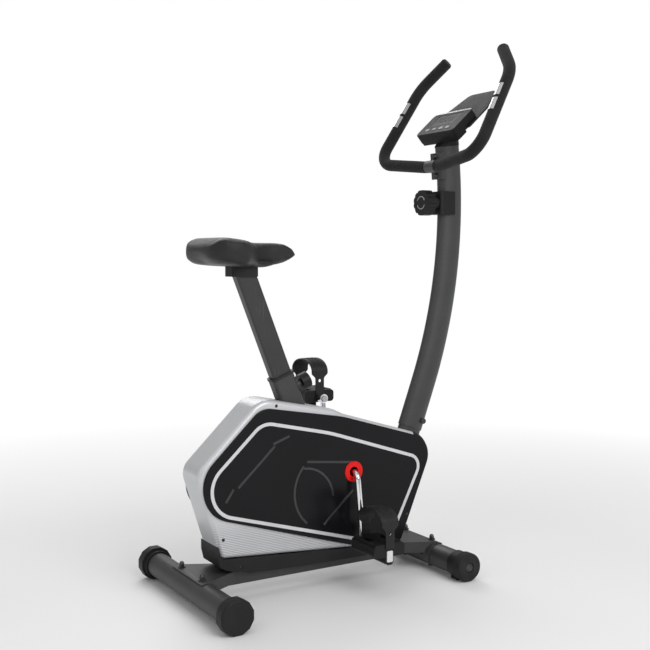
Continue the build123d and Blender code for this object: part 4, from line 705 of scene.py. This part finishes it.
class BIKE_OT_saddle(bpy.types.Operator):
    """Padded saddle with its cover and base."""

    bl_idname = "bike.saddle"
    bl_label = "Pad the saddle"

    def execute(self, context):
        settings = context.scene.bike_saddle
        dress("saddle_pan", 0.001)
        source = bmesh.new()
        source.from_mesh(frame["nodes"]["saddle_pad"].data)
        bmesh.ops.remove_doubles(source, verts=source.verts, dist=0.00001)
        cover = settle("saddle_cushion", source, "seat", "saddle_cover", smooth=pi)
        remesh = cover.modifiers.new("voxels", "REMESH")
        remesh.mode = "VOXEL"
        remesh.voxel_size = settings.voxel
        self.bake(cover)
        start = [vert.co - vert.normal * settings.inset for vert in cover.data.vertices]
        for vert, place in zip(cover.data.vertices, start):
            vert.co = place
        self.inflate(context, cover, settings)
        shape = bmesh.new()
        shape.from_mesh(cover.data)
        low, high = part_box("saddle_pad")
        for _ in range(6):
            bmesh.ops.smooth_vert(shape, verts=shape.verts, factor=0.5, use_axis_x=True, use_axis_y=True,
                                  use_axis_z=True)
        middle = (low + high) / 2
        for vert in shape.verts:
            along = (vert.co.x - low.x) / (high.x - low.x)
            depth = min(1, max(0, (high.z - vert.co.z) / (high.z - low.z)))
            skirt = settings.skirt * sin(pi * min(1, max(0, along / SKIRT_SPAN)))
            dip = settings.nose * max(0, (along - NOSE_START) / (1 - NOSE_START))
            vert.co.z -= depth * (skirt + dip)
            vert.co.x = middle.x + (vert.co.x - middle.x) * settings.fullness
            vert.co.y *= settings.fullness
        for face in shape.faces:
            face.smooth = True
        shape.to_mesh(cover.data)
        shape.free()
        finer = cover.modifiers.new("finer", "SUBSURF")
        finer.levels = 1
        finer.render_levels = 1
        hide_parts("saddle_pad")
        return {"FINISHED"}

    def bake(self, piece):
        """Apply a piece's modifiers."""
        depsgraph = bpy.context.evaluated_depsgraph_get()
        mesh = bpy.data.meshes.new_from_object(piece.evaluated_get(depsgraph))
        piece.modifiers.clear()
        old = piece.data
        piece.data = mesh
        bpy.data.meshes.remove(old)

    def inflate(self, context, piece, settings):
        """Swell the cover a little, as foam does under a tight skin."""
        rest = [vert.co.copy() for vert in piece.data.vertices]
        cloth = piece.modifiers.new("foam", "CLOTH")
        cloth.settings.quality = 6
        cloth.settings.use_pressure = True
        cloth.settings.uniform_pressure_force = settings.pressure
        cloth.settings.effector_weights.gravity = 0
        for step in range(1, settings.frames + 1):
            context.scene.frame_set(step)
        self.bake(piece)
        context.scene.frame_set(1)
        for vert, home in zip(piece.data.vertices, rest):
            move = vert.co - home
            if move.length > settings.swell:
                vert.co = home + move * (settings.swell / move.length)


class BIKE_OT_cockpit(bpy.types.Operator):
    """Grips, pulse plates, console, shelf and tension knob."""

    bl_idname = "bike.cockpit"
    bl_label = "Finish the cockpit"

    def execute(self, context):
        for node in ("grips", "pulse_sensors"):
            dress(node, 0.0)
        for node in ("knob_body", "tension_knob", "console_body", "console_bracket", "media_shelf",
                     "console_display", "button_mode", "button_set", "button_reset", "button_recovery"):
            dress(node, 0.0005)
        self.knob_marks()
        self.console_details()
        return {"FINISHED"}

    def knob_marks(self):
        low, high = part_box("tension_knob")
        centre = Vector((low.x + PRINT_RISE, (low.y + high.y) / 2, (low.z + high.z) / 2))
        marks = bmesh.new()
        for start in (20, 200):
            arc_mark(marks, centre, MARK_RADIUS, 0.0022, radians(start), radians(120), 0.0004)
            tip = radians(start + 128)
            at = centre + Vector((-0.0002, cos(tip) * MARK_RADIUS, sin(tip) * MARK_RADIUS))
            made = bmesh.ops.create_cone(marks, cap_ends=True, segments=3, radius1=0.0036, radius2=0.0034,
                                         depth=0.0004)["verts"]
            turn = Matrix.Rotation(tip + radians(90), 4, "X") @ Matrix.Rotation(radians(90), 4, "Y")
            bmesh.ops.transform(marks, matrix=Matrix.Translation(at) @ turn, verts=made)
        settle("knob_turn_marks", marks, "knob", "button_plastic")

    def console_details(self):
        """Silver rim on the top edge and figures on the display."""
        tilt = radians(42)
        turn = Matrix.Rotation(-tilt, 3, "Y")
        up_slope = Vector((cos(tilt), 0, sin(tilt)))
        outward = Vector((-sin(tilt), 0, cos(tilt)))

        def reach(node, along):
            heights = [vert.co.dot(along) for vert in frame["nodes"][node].data.vertices]
            return min(heights), max(heights)

        top = reach("console_body", up_slope)[1]
        face = reach("console_body", outward)[1]
        low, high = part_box("console_body")
        rim = bmesh.new()
        block(rim, up_slope * (top - 0.0016) + outward * (face + PRINT_RISE),
              (0.0044, (high.y - low.y) * 0.9, 0.0022), turn, 0.0006)
        settle("console_rim", rim, "frame", "stripe_silver")
        start, end = reach("console_display", up_slope)
        glass = reach("console_display", outward)[1]
        figures = bmesh.new()
        middle = (start + end) / 2
        for digit, at in enumerate((-0.026, -0.012, 0.006, 0.020)):
            for up, across, tall, wide in DIGIT_BARS:
                if up == 0 and across == 0 and digit != 2:
                    continue
                centre = up_slope * (middle + up) + outward * (glass + PRINT_RISE)
                block(figures, centre + Vector((0, -at + across, 0)), (tall, wide, 0.0002), turn)
        for dot in (-0.003, 0.003):
            centre = up_slope * (middle + dot) + outward * (glass + PRINT_RISE)
            block(figures, centre + Vector((0, 0.003, 0)), (0.0014, 0.0014, 0.0002), turn)
        settle("display_figures", figures, "frame", "cap_black")


class BIKE_OT_drive(bpy.types.Operator):
    """Crank, pedals, reflectors and toe straps."""

    bl_idname = "bike.drive"
    bl_label = "Finish the drive"

    def execute(self, context):
        dress("crank", 0.0)
        for side in ("right", "left"):
            dress(f"pedal_{side}", 0.0006)
            dress(f"reflector_{side}", 0.0003)
            dress(f"toe_strap_{side}", 0.0003)
            self.treads(side)
            self.strap_ribs(side)
        dress("pedal_spindles", 0.0004)
        return {"FINISHED"}

    def treads(self, side):
        """Raised ribs along the pedal's front and rear bars."""
        low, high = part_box(f"pedal_{side}")
        ribs = bmesh.new()
        count = 13
        for index in range(count):
            y = low.y + 0.010 + (high.y - low.y - 0.020) * index / (count - 1)
            for x in (low.x + 0.007, high.x - 0.007):
                block(ribs, (x, y, high.z + 0.0001), (0.009, 0.0022, 0.0016), None, 0.0004)
        settle(f"pedal_treads_{side}", ribs, f"pedal_{side}", "pedal_plastic")

    def strap_ribs(self, side):
        """Cross ribs over the arch of the strap."""
        low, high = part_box(f"toe_strap_{side}")
        half = (high.y - low.y) / 2
        rise = 0.030
        centre = Vector(((low.x + high.x) / 2, (low.y + high.y) / 2, high.z - rise))
        ribs = bmesh.new()
        for angle in range(24, 157, 6):
            turn = radians(angle)
            at = centre + Vector((0, half * cos(turn), rise * sin(turn)))
            lean = atan2(half * sin(turn), rise * cos(turn)) - pi / 2
            block(ribs, at, (0.030, 0.0016, 0.0011), Matrix.Rotation(lean, 3, "X"), 0.0003)
        settle(f"strap_ribs_{side}", ribs, f"pedal_{side}", "strap_rubber")


OPERATORS = (BIKE_OT_finishes, BIKE_OT_stage, BIKE_OT_frame, BIKE_OT_feet, BIKE_OT_casing, BIKE_OT_saddle,
             BIKE_OT_cockpit, BIKE_OT_drive)


class BIKE_PT_panel(bpy.types.Panel):
    """Build steps and settings of the bike."""

    bl_idname = "BIKE_PT_panel"
    bl_label = "Exercise bike"
    bl_space_type = "VIEW_3D"
    bl_region_type = "UI"
    bl_category = "Bike"

    def draw(self, context):
        for settings in (context.scene.bike_stage, context.scene.bike_finishes, context.scene.bike_saddle):
            box = self.layout.box()
            for name in settings.bl_rna.properties.keys():
                if name not in ("rna_type", "name"):
                    box.prop(settings, name)
        for operator in OPERATORS:
            self.layout.operator(operator.bl_idname)


CLASSES = (BikeStageSettings, BikeFinishSettings, BikeSaddleSettings, *OPERATORS, BIKE_PT_panel)


def register():
    for cls in CLASSES:
        bpy.utils.register_class(cls)
    bpy.types.Scene.bike_stage = PointerProperty(type=BikeStageSettings)
    bpy.types.Scene.bike_finishes = PointerProperty(type=BikeFinishSettings)
    bpy.types.Scene.bike_saddle = PointerProperty(type=BikeSaddleSettings)


def unregister():
    del bpy.types.Scene.bike_saddle
    del bpy.types.Scene.bike_finishes
    del bpy.types.Scene.bike_stage
    for cls in reversed(CLASSES):
        bpy.utils.unregister_class(cls)


def main():
    register()
    for operator in OPERATORS:
        group, name = operator.bl_idname.split(".")
        getattr(getattr(bpy.ops, group), name)()


if __name__ == "__main__":
    main()
